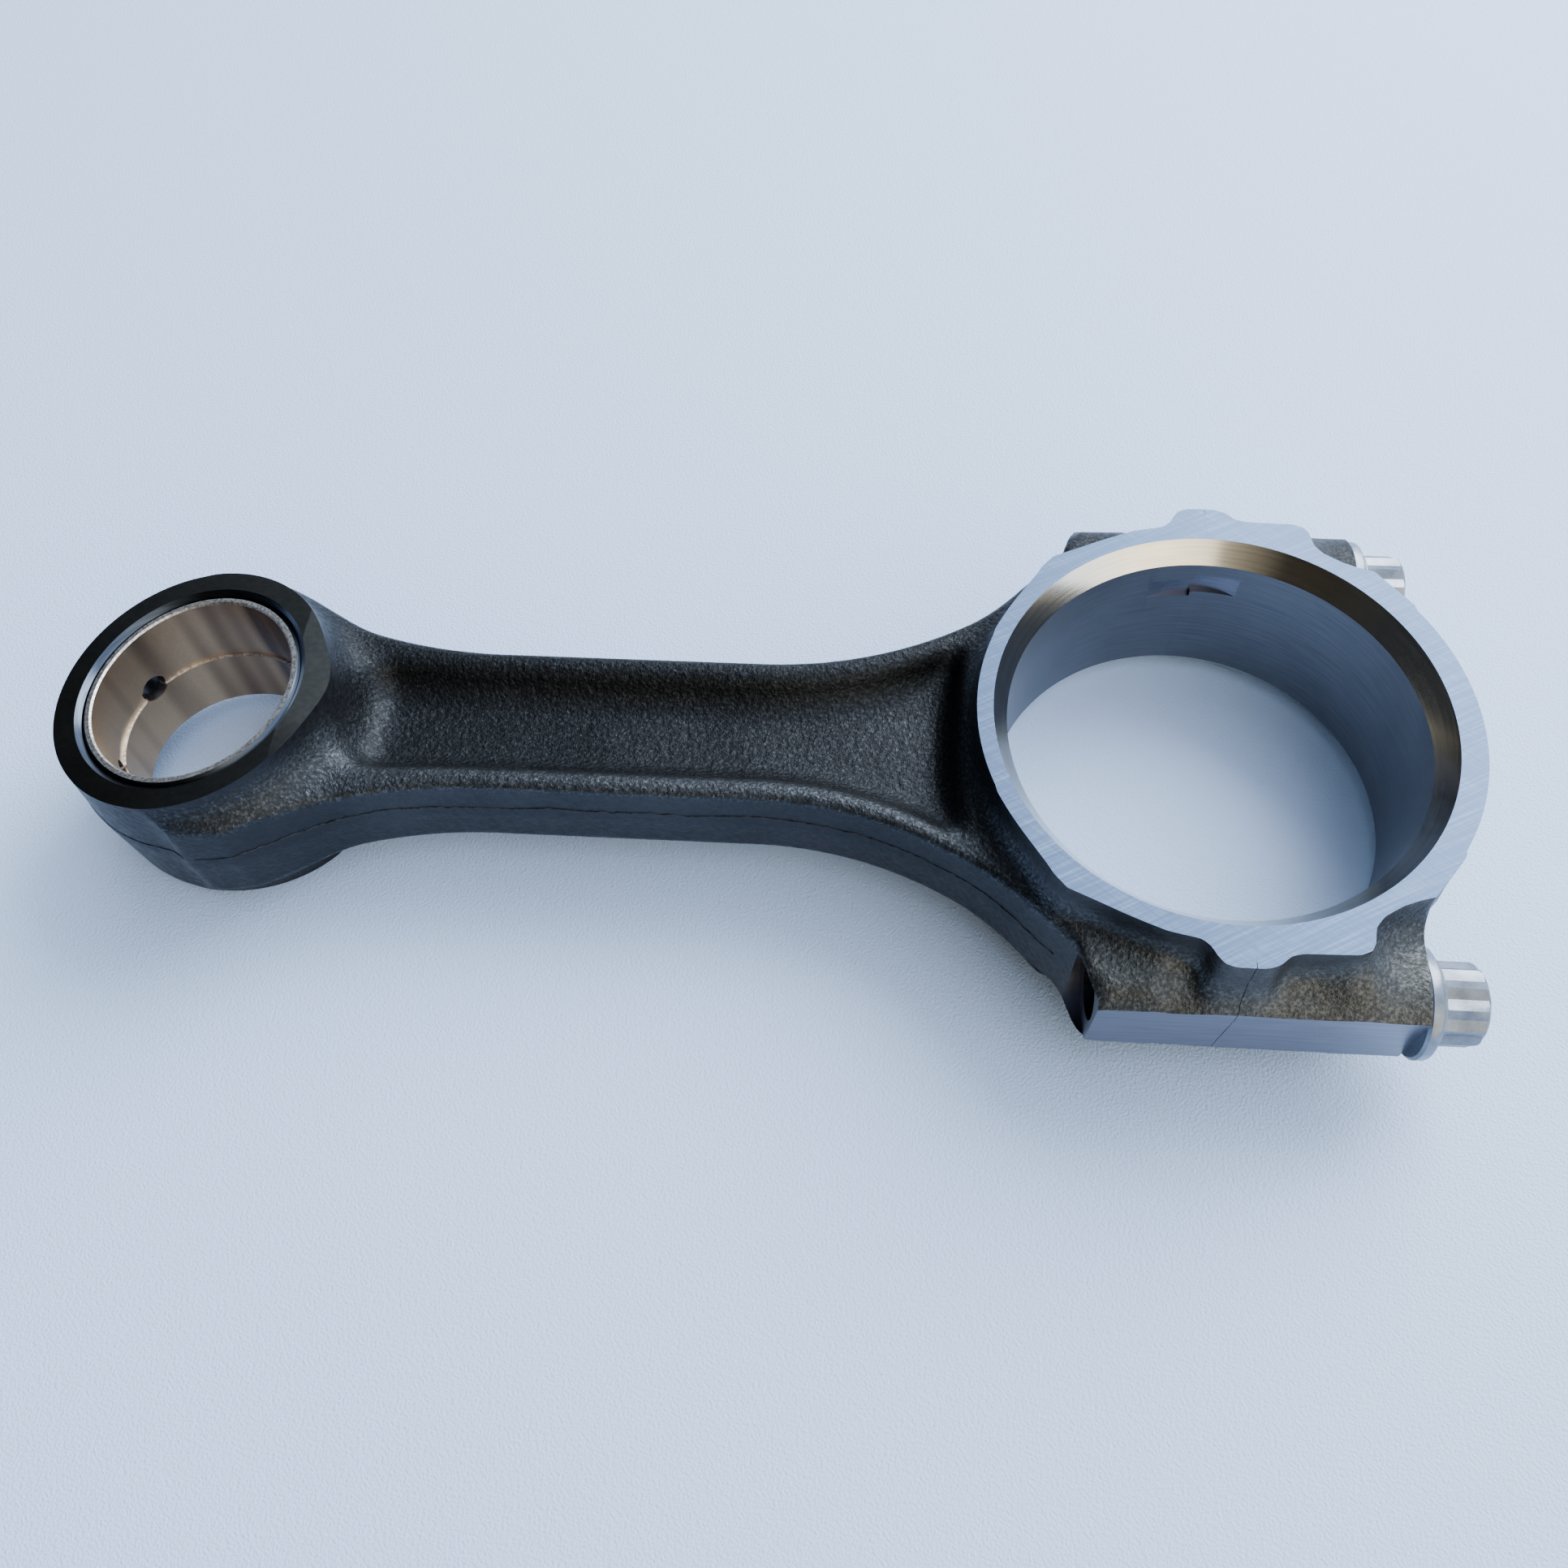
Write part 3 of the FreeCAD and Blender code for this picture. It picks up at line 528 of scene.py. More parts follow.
def die_skin():
    """Shot-blasted forging: dark and pebbled, olive on the near boss, with painted glints on the
    upward faces and painted shade everywhere but the tops of the near flange and boss, deepest on
    the walls and towards the small end.
    """
    material, tree, shader = finish("die_skin", 0.92)
    where = object_place(tree)
    facing = node(tree, "ShaderNodeTexCoord").outputs["Normal"]
    up = node(tree, "ShaderNodeSeparateXYZ", Vector=facing).outputs["Z"]
    upward = remap(tree, maths(tree, "ABSOLUTE", up, 0.0), 0.06, 0.35)
    peen = grain(tree, where, 1500.0, 2.5, 0.6)
    coarse = grain(tree, where, 800.0, 3.0, 0.5)
    patch = grain(tree, where, 45.0, 3.0, 0.5)
    parts = node(tree, "ShaderNodeSeparateXYZ", Vector=where).outputs
    olive = remap(tree, parts["Y"], -0.034, -0.046)
    # Painted shade: the skin is darkened everywhere but on the tops of the near flange and boss, so
    # the recess, web, walls and far side read as shaded
    on_top = remap(tree, maths(tree, "ABSOLUTE", parts["Z"], 0.0), 0.0045, 0.0085)
    near_side = remap(tree, parts["Y"], 0.004, -0.006)
    painted_shade_level = remap(tree, maths(tree, "MULTIPLY", on_top, near_side), 0.0, 1.0, 0.34, 0.72)
    # Painted shade: the skin grows darker towards the small end
    small_end_from, small_end_to = (pin_x + 8.0) * MILLIMETRE, (pin_x + 34.0) * MILLIMETRE
    small_end_painted_shade = remap(tree, parts["X"], small_end_from, small_end_to, 0.62, 1.0)
    tone = ramp(tree, patch, (0.30, (0.046, 0.053, 0.060)), (0.70, (0.078, 0.086, 0.094)))
    tone = mixed(tree, "MULTIPLY", 1.0, tone, grey(tree, small_end_painted_shade))
    tone = mixed(tree, "MIX", olive, tone, mixed(tree, "MULTIPLY", 1.0, tone, (1.6, 1.48, 1.28)))
    fleck = ramp(tree, peen, (0.36, 0.55), (0.60, 1.0))
    # Painted glints: bright specks added to the colour of the upward faces, blue on most of the
    # skin and olive on the near boss
    blue_spark = ramp(tree, peen, (0.55, (0.0, 0.0, 0.0)), (0.78, (0.075, 0.085, 0.095)))
    olive_spark = ramp(tree, peen, (0.52, (0.0, 0.0, 0.0)), (0.78, (0.06, 0.058, 0.05)))
    painted_glints = mixed(tree, "MIX", olive, blue_spark, olive_spark)
    lit = mixed(tree, "ADD", 1.0, mixed(tree, "MULTIPLY", 1.0, tone, fleck), painted_glints)
    lit = mixed(tree, "MULTIPLY", 1.0, lit, grey(tree, painted_shade_level))
    # Painted shade: faces that stand upright take the skin's tone darkened, and only the upward
    # faces take the lit colour with its glints
    wall = mixed(tree, "MULTIPLY", 1.0, tone, (0.50, 0.47, 0.48))
    tree.links.new(mixed(tree, "MIX", upward, wall, lit), shader.inputs["Base Color"])
    tree.links.new(remap(tree, coarse, 0.3, 0.7, 0.36, 0.52), shader.inputs["Roughness"])
    depth = maths(tree, "MULTIPLY_ADD", upward, 0.65, 0.35)
    height = maths(tree, "MULTIPLY", maths(tree, "ADD", peen, coarse), depth)
    relief(tree, shader, height, 0.00020, 1.0)
    return material


def ground_steel():
    """Side faces off the grinder: pale, with fine crossing scratches."""
    material, tree, shader = finish("ground_steel")
    first = grain(tree, object_place(tree, (60, 2600, 60), (0, 0, math.radians(-28))), 1.0, 4.0)
    second = grain(tree, object_place(tree, (90, 1800, 60), (0, 0, math.radians(38))), 1.0, 4.0)
    cloud = grain(tree, object_place(tree), 28.0, 3.0)
    lines = maths(tree, "ADD", maths(tree, "MULTIPLY", first, 0.7),
                  maths(tree, "MULTIPLY", second, 0.3))
    base = ramp(tree, lines, (0.32, (0.056, 0.084, 0.140)), (0.50, (0.076, 0.110, 0.176)),
                (0.68, (0.13, 0.18, 0.265)))
    tree.links.new(mixed(tree, "MULTIPLY", 0.35, base, ramp(tree, cloud, (0.3, 0.75), (0.7, 1.0))),
                   shader.inputs["Base Color"])
    tree.links.new(ramp(tree, lines, (0.35, 0.34), (0.65, 0.46)), shader.inputs["Roughness"])
    relief(tree, shader, lines, 0.00003, 0.8)
    return material


def round_the_bore(tree, centre_x, around, along):
    """Coordinates that run round a bore and along it, so marks follow the cutter."""
    place = node(tree, "ShaderNodeTexCoord").outputs["Object"]
    parts = node(tree, "ShaderNodeSeparateXYZ", Vector=place).outputs
    x = maths(tree, "SUBTRACT", parts["X"], centre_x * MILLIMETRE)
    turn = maths(tree, "ARCTAN2", parts["Y"], x)
    return node(tree, "ShaderNodeCombineXYZ", X=maths(tree, "MULTIPLY", turn, around),
                Y=maths(tree, "MULTIPLY", parts["Z"], along)).outputs[0]


def bored_steel(name, low, high, rough, centre_x=0.0, along=2200.0, depth=0.00002):
    """Steel left by a boring bar: fine rings round the bore."""
    material, tree, shader = finish(name)
    rings = grain(tree, round_the_bore(tree, centre_x, 3.0, along), 1.0, 3.0)
    patch = grain(tree, object_place(tree), 60.0, 3.0)
    tone = ramp(tree, rings, (0.35, low), (0.65, high))
    tree.links.new(mixed(tree, "MULTIPLY", 0.5, tone, ramp(tree, patch, (0.3, 0.7), (0.7, 1.0))),
                   shader.inputs["Base Color"])
    tree.links.new(ramp(tree, rings, (0.3, rough * 0.9), (0.7, rough * 1.15)),
                   shader.inputs["Roughness"])
    relief(tree, shader, rings, depth, 0.8)
    return material


def milled_steel(name, low, high, rough, stretch=(80, 80, 1500), bite=0.6):
    """Steel left by a cutter: straight, faint feed marks."""
    material, tree, shader = finish(name)
    marks = grain(tree, object_place(tree, stretch), 1.0, 3.0)
    smear = grain(tree, object_place(tree), 70.0, 2.0)
    tone = ramp(tree, marks, (0.35, low), (0.65, high))
    tree.links.new(mixed(tree, "MULTIPLY", 0.5, tone, ramp(tree, smear, (0.3, 0.72), (0.7, 1.0))),
                   shader.inputs["Base Color"])
    tree.links.new(ramp(tree, smear, (0.3, rough * 0.85), (0.7, rough * 1.2)),
                   shader.inputs["Roughness"])
    relief(tree, shader, marks, 0.00002, bite)
    return material


def torn_steel():
    """The cracked faces: bright grains of torn metal."""
    material, tree, shader = finish("torn_steel")
    where = object_place(tree)
    cells = node(tree, "ShaderNodeTexVoronoi", Vector=where, Scale=2200.0).outputs["Color"]
    rough_grain = grain(tree, where, 900.0, 4.0, 0.65)
    tree.links.new(ramp(tree, rough_grain, (0.35, (0.20, 0.20, 0.21)), (0.65, (0.52, 0.52, 0.54))),
                   shader.inputs["Base Color"])
    shader.inputs["Roughness"].default_value = 0.5
    facets = node(tree, "ShaderNodeSeparateXYZ", Vector=cells).outputs["X"]
    height = maths(tree, "ADD", rough_grain, facets)
    relief(tree, shader, height, 0.00025, 1.0)
    return material


FINISHES = (
    die_skin(),
    ground_steel(),
    bored_steel("bored_housing", (0.155, 0.162, 0.182), (0.20, 0.209, 0.234), 0.40),
    # The crank bore's chamfer is given a near-white, warm steel: a painted highlight on polished
    # steel
    bored_steel("bored_mouth_highlight", (0.80, 0.77, 0.68), (0.95, 0.91, 0.82), 0.13, depth=0.000005),
    milled_steel("milled_small_end", (0.20, 0.208, 0.192), (0.256, 0.256, 0.228), 0.13,
                 (700, 900, 60), 0.2),
    milled_steel("milled_flat", (0.175, 0.18, 0.225), (0.22, 0.225, 0.275), 0.30),
    # Near-black steel for the insides of the drilled holes: painted shade
    milled_steel("drilled_steel_shaded", (0.05, 0.05, 0.055), (0.10, 0.10, 0.11), 0.5),
    torn_steel(),
    # The seat chamfers are given a darker, bluer steel than the bores: painted shade with a painted
    # blue reflection
    bored_steel("seat_chamfer_shaded", (0.045, 0.058, 0.078), (0.075, 0.09, 0.115), 0.22, pin_x),
)
SKIN, GROUND, BORE, MOUTH, SMALL_SIDE, FLAT, DRILLED_SHADE, TORN, SEAT = range(len(FINISHES))


FACING, SQUARE, UPRIGHT = 0.98, 0.99, 0.05
MOUTH_LEAN = 0.54


def near(value, target, slack=0.03):
    return np.abs(value - target) < slack


def finish_faces(piece, torn_way):
    """Give every face the finish of the tool that cut it."""
    mesh = piece.data
    mesh.materials.clear()
    for material in FINISHES:
        mesh.materials.append(material)
    count = len(mesh.polygons)
    centre, normal = np.zeros(3 * count), np.zeros(3 * count)
    mesh.polygons.foreach_get("center", centre)
    mesh.polygons.foreach_get("normal", normal)
    x, y, z = centre.reshape(-1, 3).T / MILLIMETRE
    nx, ny, nz = normal.reshape(-1, 3).T
    from_crank, from_pin = np.hypot(x, y), np.hypot(x - pin_x, y)
    from_bolt = np.hypot(np.abs(y) - bolt_y, z)
    level = half_width - np.maximum(TAPER_X - x, 0) * TAPER_SLOPE
    on_side = near(np.abs(z), level) & (np.abs(nz) > FACING)
    kind = np.zeros(count, int)
    kind[on_side & (x > pin_x / 2)] = GROUND
    kind[on_side & (x < pin_x / 2)] = SMALL_SIDE
    kind[near(from_crank, crank_radius, 0.06) & (np.abs(nz) < UPRIGHT)] = BORE
    kind[(from_crank < crank_radius + MOUTH_REACH) & near(np.abs(nz), MOUTH_LEAN, 0.05)] = MOUTH
    kind[(from_pin < SEAT_RADIUS + SEAT_CHAMFER + 0.1) & ~on_side] = SEAT
    kind[near(np.abs(y), flat_y) & (np.abs(ny) > SQUARE)] = FLAT
    kind[near(x, BOSS_ROD_X) & (nx < -SQUARE)] = FLAT
    kind[near(x, BOSS_CAP_X) & (nx > SQUARE)] = FLAT
    kind[near(from_bolt, RELIEF_RADIUS, 0.08) & (x < BOSS_ROD_X) & (np.abs(nx) < UPRIGHT)] = FLAT
    kind[(from_bolt < CAP_HOLE_RADIUS + 0.1) & (np.abs(nx) < 0.2)] = DRILLED_SHADE
    notch = (np.abs(x) < 11) & (y > crank_radius - 2) & (y < crank_radius + 1.2)
    notch &= (z > 5) & (z < 12.6)
    kind[notch & (kind == SKIN)] = FLAT
    for angle in OIL_HOLE_ANGLES:
        off_axis = (x - pin_x) * math.sin(angle) - y * math.cos(angle)
        ahead = (x - pin_x) * math.cos(angle) + y * math.sin(angle)
        drilled = (np.hypot(off_axis, z) < 6.2) & (ahead > 22) & (from_pin < SMALL_END_RADIUS + 0.2)
        kind[drilled & (kind == SKIN)] = DRILLED_SHADE
    kind[(np.abs(x) < 2.5) & (nx * torn_way > 0.5) & (kind == SKIN)] = TORN
    mesh.polygons.foreach_set("material_index", kind)
    mesh.polygons.foreach_set("use_smooth", np.ones(count, bool))
    mesh.set_sharp_from_angle(angle=math.radians(32))
    mesh.update()


finish_faces(rod, 1)
finish_faces(cap, -1)
for piece, body, cad_node in ((rod, "rod", "connecting_rod"), (cap, "cap", "bearing_cap")):
    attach(piece, body)
    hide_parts(cad_node)


# ---------------------------------------------------------------------------
# The flash line.  Where the two dies met, a thin fin was squeezed out and
# trimmed off; it leaves a low, ragged bead along the walls of the forging.
# ---------------------------------------------------------------------------

FLASH_Z, BEAD_RADIUS, BEAD_SIDES, BEAD_STEPS = 2.6, 0.17, 6, 600
BEAD_WANDER, BEAD_RAGGED = 2.4, 1.3
WALL_PASSES, WALL_NUDGE, WALL_STRIDE = 30, 0.1, 0.7


def settle_on_walls(guesses):
    """Move plan points sideways until they lie on the forging's wall."""
    x, y = np.array(guesses, float).T
    for _ in range(WALL_PASSES):
        away = forging(x, y, FLASH_Z)
        ahead, behind = forging(x + WALL_NUDGE, y, FLASH_Z), forging(x - WALL_NUDGE, y, FLASH_Z)
        left, right = forging(x, y + WALL_NUDGE, FLASH_Z), forging(x, y - WALL_NUDGE, FLASH_Z)
        sx, sy = (ahead - behind) / (2 * WALL_NUDGE), (left - right) / (2 * WALL_NUDGE)
        size = np.maximum(sx ** 2 + sy ** 2, 0.3)
        x, y = x - WALL_STRIDE * away * sx / size, y - WALL_STRIDE * away * sy / size
    return np.stack([x, y, np.full(len(x), FLASH_Z)], 1)


def bead_tree():
    """Geometry Nodes: a path is resampled, shaken by noise and given a round section."""
    tree = bpy.data.node_groups.new("flash_bead", "GeometryNodeTree")
    face = tree.interface
    face.new_socket("Geometry", in_out="INPUT", socket_type="NodeSocketGeometry")
    for label in ("Bead Radius", "Wander", "Ragged"):
        face.new_socket(label, in_out="INPUT", socket_type="NodeSocketFloat")
    face.new_socket("Material", in_out="INPUT", socket_type="NodeSocketMaterial")
    face.new_socket("Geometry", in_out="OUTPUT", socket_type="NodeSocketGeometry")
    given = tree.nodes.new("NodeGroupInput").outputs
    path = node(tree, "GeometryNodeMeshToCurve", Mesh=given["Geometry"]).outputs[0]
    path = node(tree, "GeometryNodeResampleCurve", Curve=path, Count=BEAD_STEPS).outputs[0]
    place = node(tree, "GeometryNodeInputPosition").outputs[0]
    slow = node(tree, "ShaderNodeTexNoise", Vector=place, Scale=55.0, Detail=2.0).outputs["Fac"]
    quick = node(tree, "ShaderNodeTexNoise", Vector=place, Scale=700.0, Detail=2.0).outputs["Fac"]
    drift = maths(tree, "MULTIPLY", maths(tree, "SUBTRACT", slow, 0.5), given["Wander"])
    shake = maths(tree, "MULTIPLY", maths(tree, "SUBTRACT", quick, 0.5), given["Ragged"])
    offset = node(tree, "ShaderNodeCombineXYZ", Z=maths(tree, "ADD", drift, shake)).outputs[0]
    path = node(tree, "GeometryNodeSetPosition", Geometry=path, Offset=offset).outputs[0]
    section = node(tree, "GeometryNodeCurvePrimitiveCircle", Resolution=BEAD_SIDES,
                   Radius=given["Bead Radius"])
    bead = node(tree, "GeometryNodeCurveToMesh", Curve=path, Profile_Curve=section.outputs[0],
                Fill_Caps=True).outputs[0]
    whole = node(tree, "GeometryNodeRealizeInstances", Geometry=bead).outputs[0]
    coated = node(tree, "GeometryNodeSetMaterial", Geometry=whole,
                  Material=given["Material"]).outputs[0]
    tree.links.new(coated, tree.nodes.new("NodeGroupOutput").inputs[0])
    return tree


def grow_by_nodes(piece, tree, **values):
    """Run a Geometry Nodes tree on the piece and keep its result as a plain mesh."""
    made = piece.modifiers.new("nodes", "NODES")
    made.node_group = tree
    keys = {item.name: item.identifier for item in tree.interface.items_tree
            if item.item_type == "SOCKET" and item.in_out == "INPUT"}
    for name, value in values.items():
        made[keys[name.replace("_", " ")]] = value
    shape = settled_mesh(piece)
    piece.modifiers.clear()
    piece.data = shape
    return piece


def flash_steel():
    material, tree, shader = finish("flash_steel", 0.8)
    specks = grain(tree, object_place(tree), 900.0, 3.0)
    tree.links.new(ramp(tree, specks, (0.35, (0.008, 0.009, 0.012)), (0.7, (0.06, 0.065, 0.075))),
                   shader.inputs["Base Color"])
    shader.inputs["Roughness"].default_value = 0.55
    return material


def lower_side(way):
    """Plan path from a bolt boss along the shank to the crown of the small end."""
    path = []
    for x in np.arange(-29.0, pin_x + 20.0, -2.0):
        big_rise, small_rise, _ = shank_flare(x)
        path.append((x, way * (SHANK_HALF + big_rise + small_rise)))
    for turn in np.radians(np.arange(55, 181, 4)):
        path.append((pin_x + SMALL_END_RADIUS * math.cos(turn),
                     way * SMALL_END_RADIUS * math.sin(turn)))
    return path


bead_nodes, bead_material = bead_tree(), flash_steel()
round_cap = [(RING_CAP * math.cos(t), RING_CAP * math.sin(t))
             for t in np.radians(np.arange(-32, 33, 3))]
for name, path, body in (
    ("flash_shank", lower_side(-1) + lower_side(1)[::-1][1:], "rod"),
    ("flash_cap", round_cap, "cap"),
):
    places = settle_on_walls(path)
    edges = [(k, k + 1) for k in range(len(places) - 1)]
    mesh = bpy.data.meshes.new(name)
    mesh.from_pydata((places * MILLIMETRE).tolist(), edges, [])
    bead = bpy.data.objects.new(name, mesh)
    bpy.context.scene.collection.objects.link(bead)
    grow_by_nodes(bead, bead_nodes, Bead_Radius=BEAD_RADIUS * MILLIMETRE,
                  Wander=BEAD_WANDER * MILLIMETRE, Ragged=BEAD_RAGGED * MILLIMETRE,
                  Material=bead_material)
    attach(bead, body)

# ---------------------------------------------------------------------------
# The small-end bush.  A strip of steel lined with bronze is rolled into a
# tube and pressed in; its ends are milled with the rod's sides, an oil groove
# runs round the middle, and two oil holes are drilled through it.
# ---------------------------------------------------------------------------

BUSH_INSET, BUSH_CHAMFER, BACK_CHAMFER = 0.56, 0.35, 0.8
GROOVE_HALF, GROOVE_DEPTH = 1.4, 0.5
BUSH_HOLE = ((3.1, 15.0), (2.9, 20.3), (2.6, 20.9), (2.6, 25.0))


def follow_sides(piece):
    """Bring the end rows of a tube to the rod's tapered sides."""
    for vertex in piece.data.vertices:
        if abs(vertex.co.z) > half_width * MILLIMETRE / 2:
            drop = half_width - side_height(vertex.co.x / MILLIMETRE)
            vertex.co.z -= math.copysign(drop * MILLIMETRE, vertex.co.z)


end = half_width - BUSH_INSET
bush = turned("bush", (
    (SEAT_RADIUS - BACK_CHAMFER, -end), (SEAT_RADIUS - 0.01, BACK_CHAMFER - end),
    (SEAT_RADIUS - 0.01, end - BACK_CHAMFER), (SEAT_RADIUS - BACK_CHAMFER, end),
), (pin_x, 0, 0), (0, 0, 1), BORE_STEPS)
follow_sides(bush)
lining = turned("lining", (
    (pin_radius + BUSH_CHAMFER + beyond, -end - beyond), (pin_radius, BUSH_CHAMFER - end),
    (pin_radius, end - BUSH_CHAMFER), (pin_radius + BUSH_CHAMFER + beyond, end + beyond),
), (pin_x, 0, 0), (0, 0, 1), BORE_STEPS)
follow_sides(lining)
machine(bush, lining)
machine(bush, turned("oil_groove", (
    (pin_radius - 0.3, -GROOVE_HALF - 0.05), (pin_radius + GROOVE_DEPTH, 0.1 - GROOVE_HALF),
    (pin_radius + GROOVE_DEPTH, GROOVE_HALF - 0.1), (pin_radius - 0.3, GROOVE_HALF + 0.05),
), (pin_x, 0, 0), (0, 0, 1), BORE_STEPS))
for angle in OIL_HOLE_ANGLES:
    heading = (math.cos(angle), math.sin(angle), 0)
    machine(bush, turned("oil_hole", BUSH_HOLE, (pin_x, 0, 0), heading, OIL_HOLE_STEPS))


def bronze_lining():
    material, tree, shader = finish("bronze_lining")
    rings = grain(tree, round_the_bore(tree, pin_x, 2.0, 3000.0), 1.0, 3.0)
    # Soft bands round the bore that lighten and darken the bronze are painted reflections
    reflection_bands = grain(tree, round_the_bore(tree, pin_x, 2.6, 8.0), 1.0, 1.0)
    specks = grain(tree, object_place(tree), 1500.0, 2.0)
    lengthwise = node(tree, "ShaderNodeSeparateXYZ", Vector=object_place(tree)).outputs["X"]
    # Painted light: the bronze grows lighter towards the left of the bore
    left_light_from, left_light_to = (pin_x + 12.0) * MILLIMETRE, (pin_x - 18.0) * MILLIMETRE
    painted_left_light = remap(tree, lengthwise, left_light_from, left_light_to, -0.18, 0.22)
    reflection_bands = maths(tree, "ADD", reflection_bands, painted_left_light)
    tone = ramp(tree, reflection_bands, (0.34, (0.095, 0.058, 0.048)), (0.70, (0.66, 0.48, 0.30)))
    tree.links.new(mixed(tree, "MULTIPLY", 0.35, tone, ramp(tree, specks, (0.3, 0.8), (0.7, 1.0))),
                   shader.inputs["Base Color"])
    tree.links.new(ramp(tree, rings, (0.3, 0.30), (0.7, 0.42)), shader.inputs["Roughness"])
    relief(tree, shader, rings, 0.00002, 0.6)
    return material


def rough_rim():
    """Bush ends and groove edges: bright, coarsely cut metal; on the groove edges this brightness
    is a painted highlight.
    """
    material, tree, shader = finish("bush_rim")
    specks = grain(tree, object_place(tree), 1700.0, 3.0, 0.7)
    tree.links.new(ramp(tree, specks, (0.4, (0.34, 0.32, 0.29)), (0.6, (0.78, 0.76, 0.72))),
                   shader.inputs["Base Color"])
    shader.inputs["Roughness"].default_value = 0.38
    relief(tree, shader, specks, 0.00012, 1.0)
    return material


# The bush's oil holes take the near-black drilled steel, painted shade, and its back chamfers the
# seat chamfer's painted shade
LINING, RIM, HOLE, BACK = range(4)
bush.data.materials.clear()
for material in (bronze_lining(), rough_rim(), FINISHES[DRILLED_SHADE], FINISHES[SEAT]):
    bush.data.materials.append(material)
for face in bush.data.polygons:
    middle = face.center / MILLIMETRE
    reach = math.hypot(middle.x - pin_x, middle.y)
    from_end = abs(abs(middle.z) - side_height(middle.x)) - BUSH_INSET
    in_groove = abs(middle.z) < GROOVE_HALF + 0.1
    face.material_index = LINING
    if from_end < BACK_CHAMFER + 0.05 and reach > SEAT_RADIUS - BACK_CHAMFER + 0.05:
        face.material_index = BACK
    # The groove's walls take the bright rim colour as a painted highlight
    elif from_end < BUSH_CHAMFER + 0.02 or (in_groove and abs(face.normal.z) > 0.4):
        face.material_index = RIM
    elif reach > pin_radius + GROOVE_DEPTH + 0.05 and abs(middle.z) < 3.0:
        face.material_index = HOLE
    face.use_smooth = True
bush.data.set_sharp_from_angle(angle=math.radians(30))
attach(bush, "rod")
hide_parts("small_end_bush")

# ---------------------------------------------------------------------------
# The cap bolts.  Cold-headed alloy steel with a twelve-point head and a
# collar, turned down to a plain shank and rolled with an M12 fine thread.
# They pass through the cap and screw into the rod.
# ---------------------------------------------------------------------------

THREAD_PITCH, THREAD_DEPTH, THREAD_RADIUS, ROWS_PER_PITCH = 1.5, 0.9, 6.0, 8
TIP_CHAMFER, RUN_OUT = 1.2, 2.4
SHANK_RADIUS, SHANK_LENGTH = 5.5, 27.0
COLLAR_RADIUS, COLLAR_HEIGHT = 10.1, 3.6
HEAD_APOTHEM, HEAD_HEIGHT = 6.5, 11.7
BOLT_STEPS, WHOLE_TURNS = 96, 100.0
BOLT_LENGTH = bolt_high.x - bolt_low.x - HEAD_HEIGHT


def bolt_blank(name, side):
    """The turned blank, with rows close enough for the thread to be rolled on."""
    tip_radius = HEAD_APOTHEM / math.cos(math.radians(30))
    thread_from = TIP_CHAMFER - BOLT_LENGTH
    profile = [(0.4, -BOLT_LENGTH), (THREAD_RADIUS - TIP_CHAMFER, -BOLT_LENGTH)]
    rows = int((BOLT_LENGTH - SHANK_LENGTH - RUN_OUT) / THREAD_PITCH * ROWS_PER_PITCH)
    for row in range(rows + 1):
        profile.append((THREAD_RADIUS, thread_from + row * THREAD_PITCH / ROWS_PER_PITCH))
    profile += [
        (SHANK_RADIUS, -SHANK_LENGTH), (SHANK_RADIUS, -0.9), (SHANK_RADIUS + 0.8, 0.0),
        (COLLAR_RADIUS - 0.5, 0.0), (COLLAR_RADIUS, 0.5), (COLLAR_RADIUS, 1.9),
        (COLLAR_RADIUS - 0.2, 2.3), (COLLAR_RADIUS - 0.7, 2.6), (COLLAR_RADIUS - 1.9, 3.1),
        (tip_radius + 0.5, COLLAR_HEIGHT), (tip_radius + 0.1, COLLAR_HEIGHT + 0.3),
        (tip_radius, COLLAR_HEIGHT + 0.8), (tip_radius, HEAD_HEIGHT - 1.5),
        (tip_radius - 0.35, HEAD_HEIGHT - 0.75), (tip_radius - 1.1, HEAD_HEIGHT - 0.25),
        (tip_radius - 1.9, HEAD_HEIGHT), (4.6, HEAD_HEIGHT), (4.0, HEAD_HEIGHT - 0.35),
        (2.4, HEAD_HEIGHT - 1.1), (0.4, HEAD_HEIGHT - 1.5),
    ]
    return turned(name, profile, (BOSS_CAP_X, side, 0), (1, 0, 0), BOLT_STEPS)


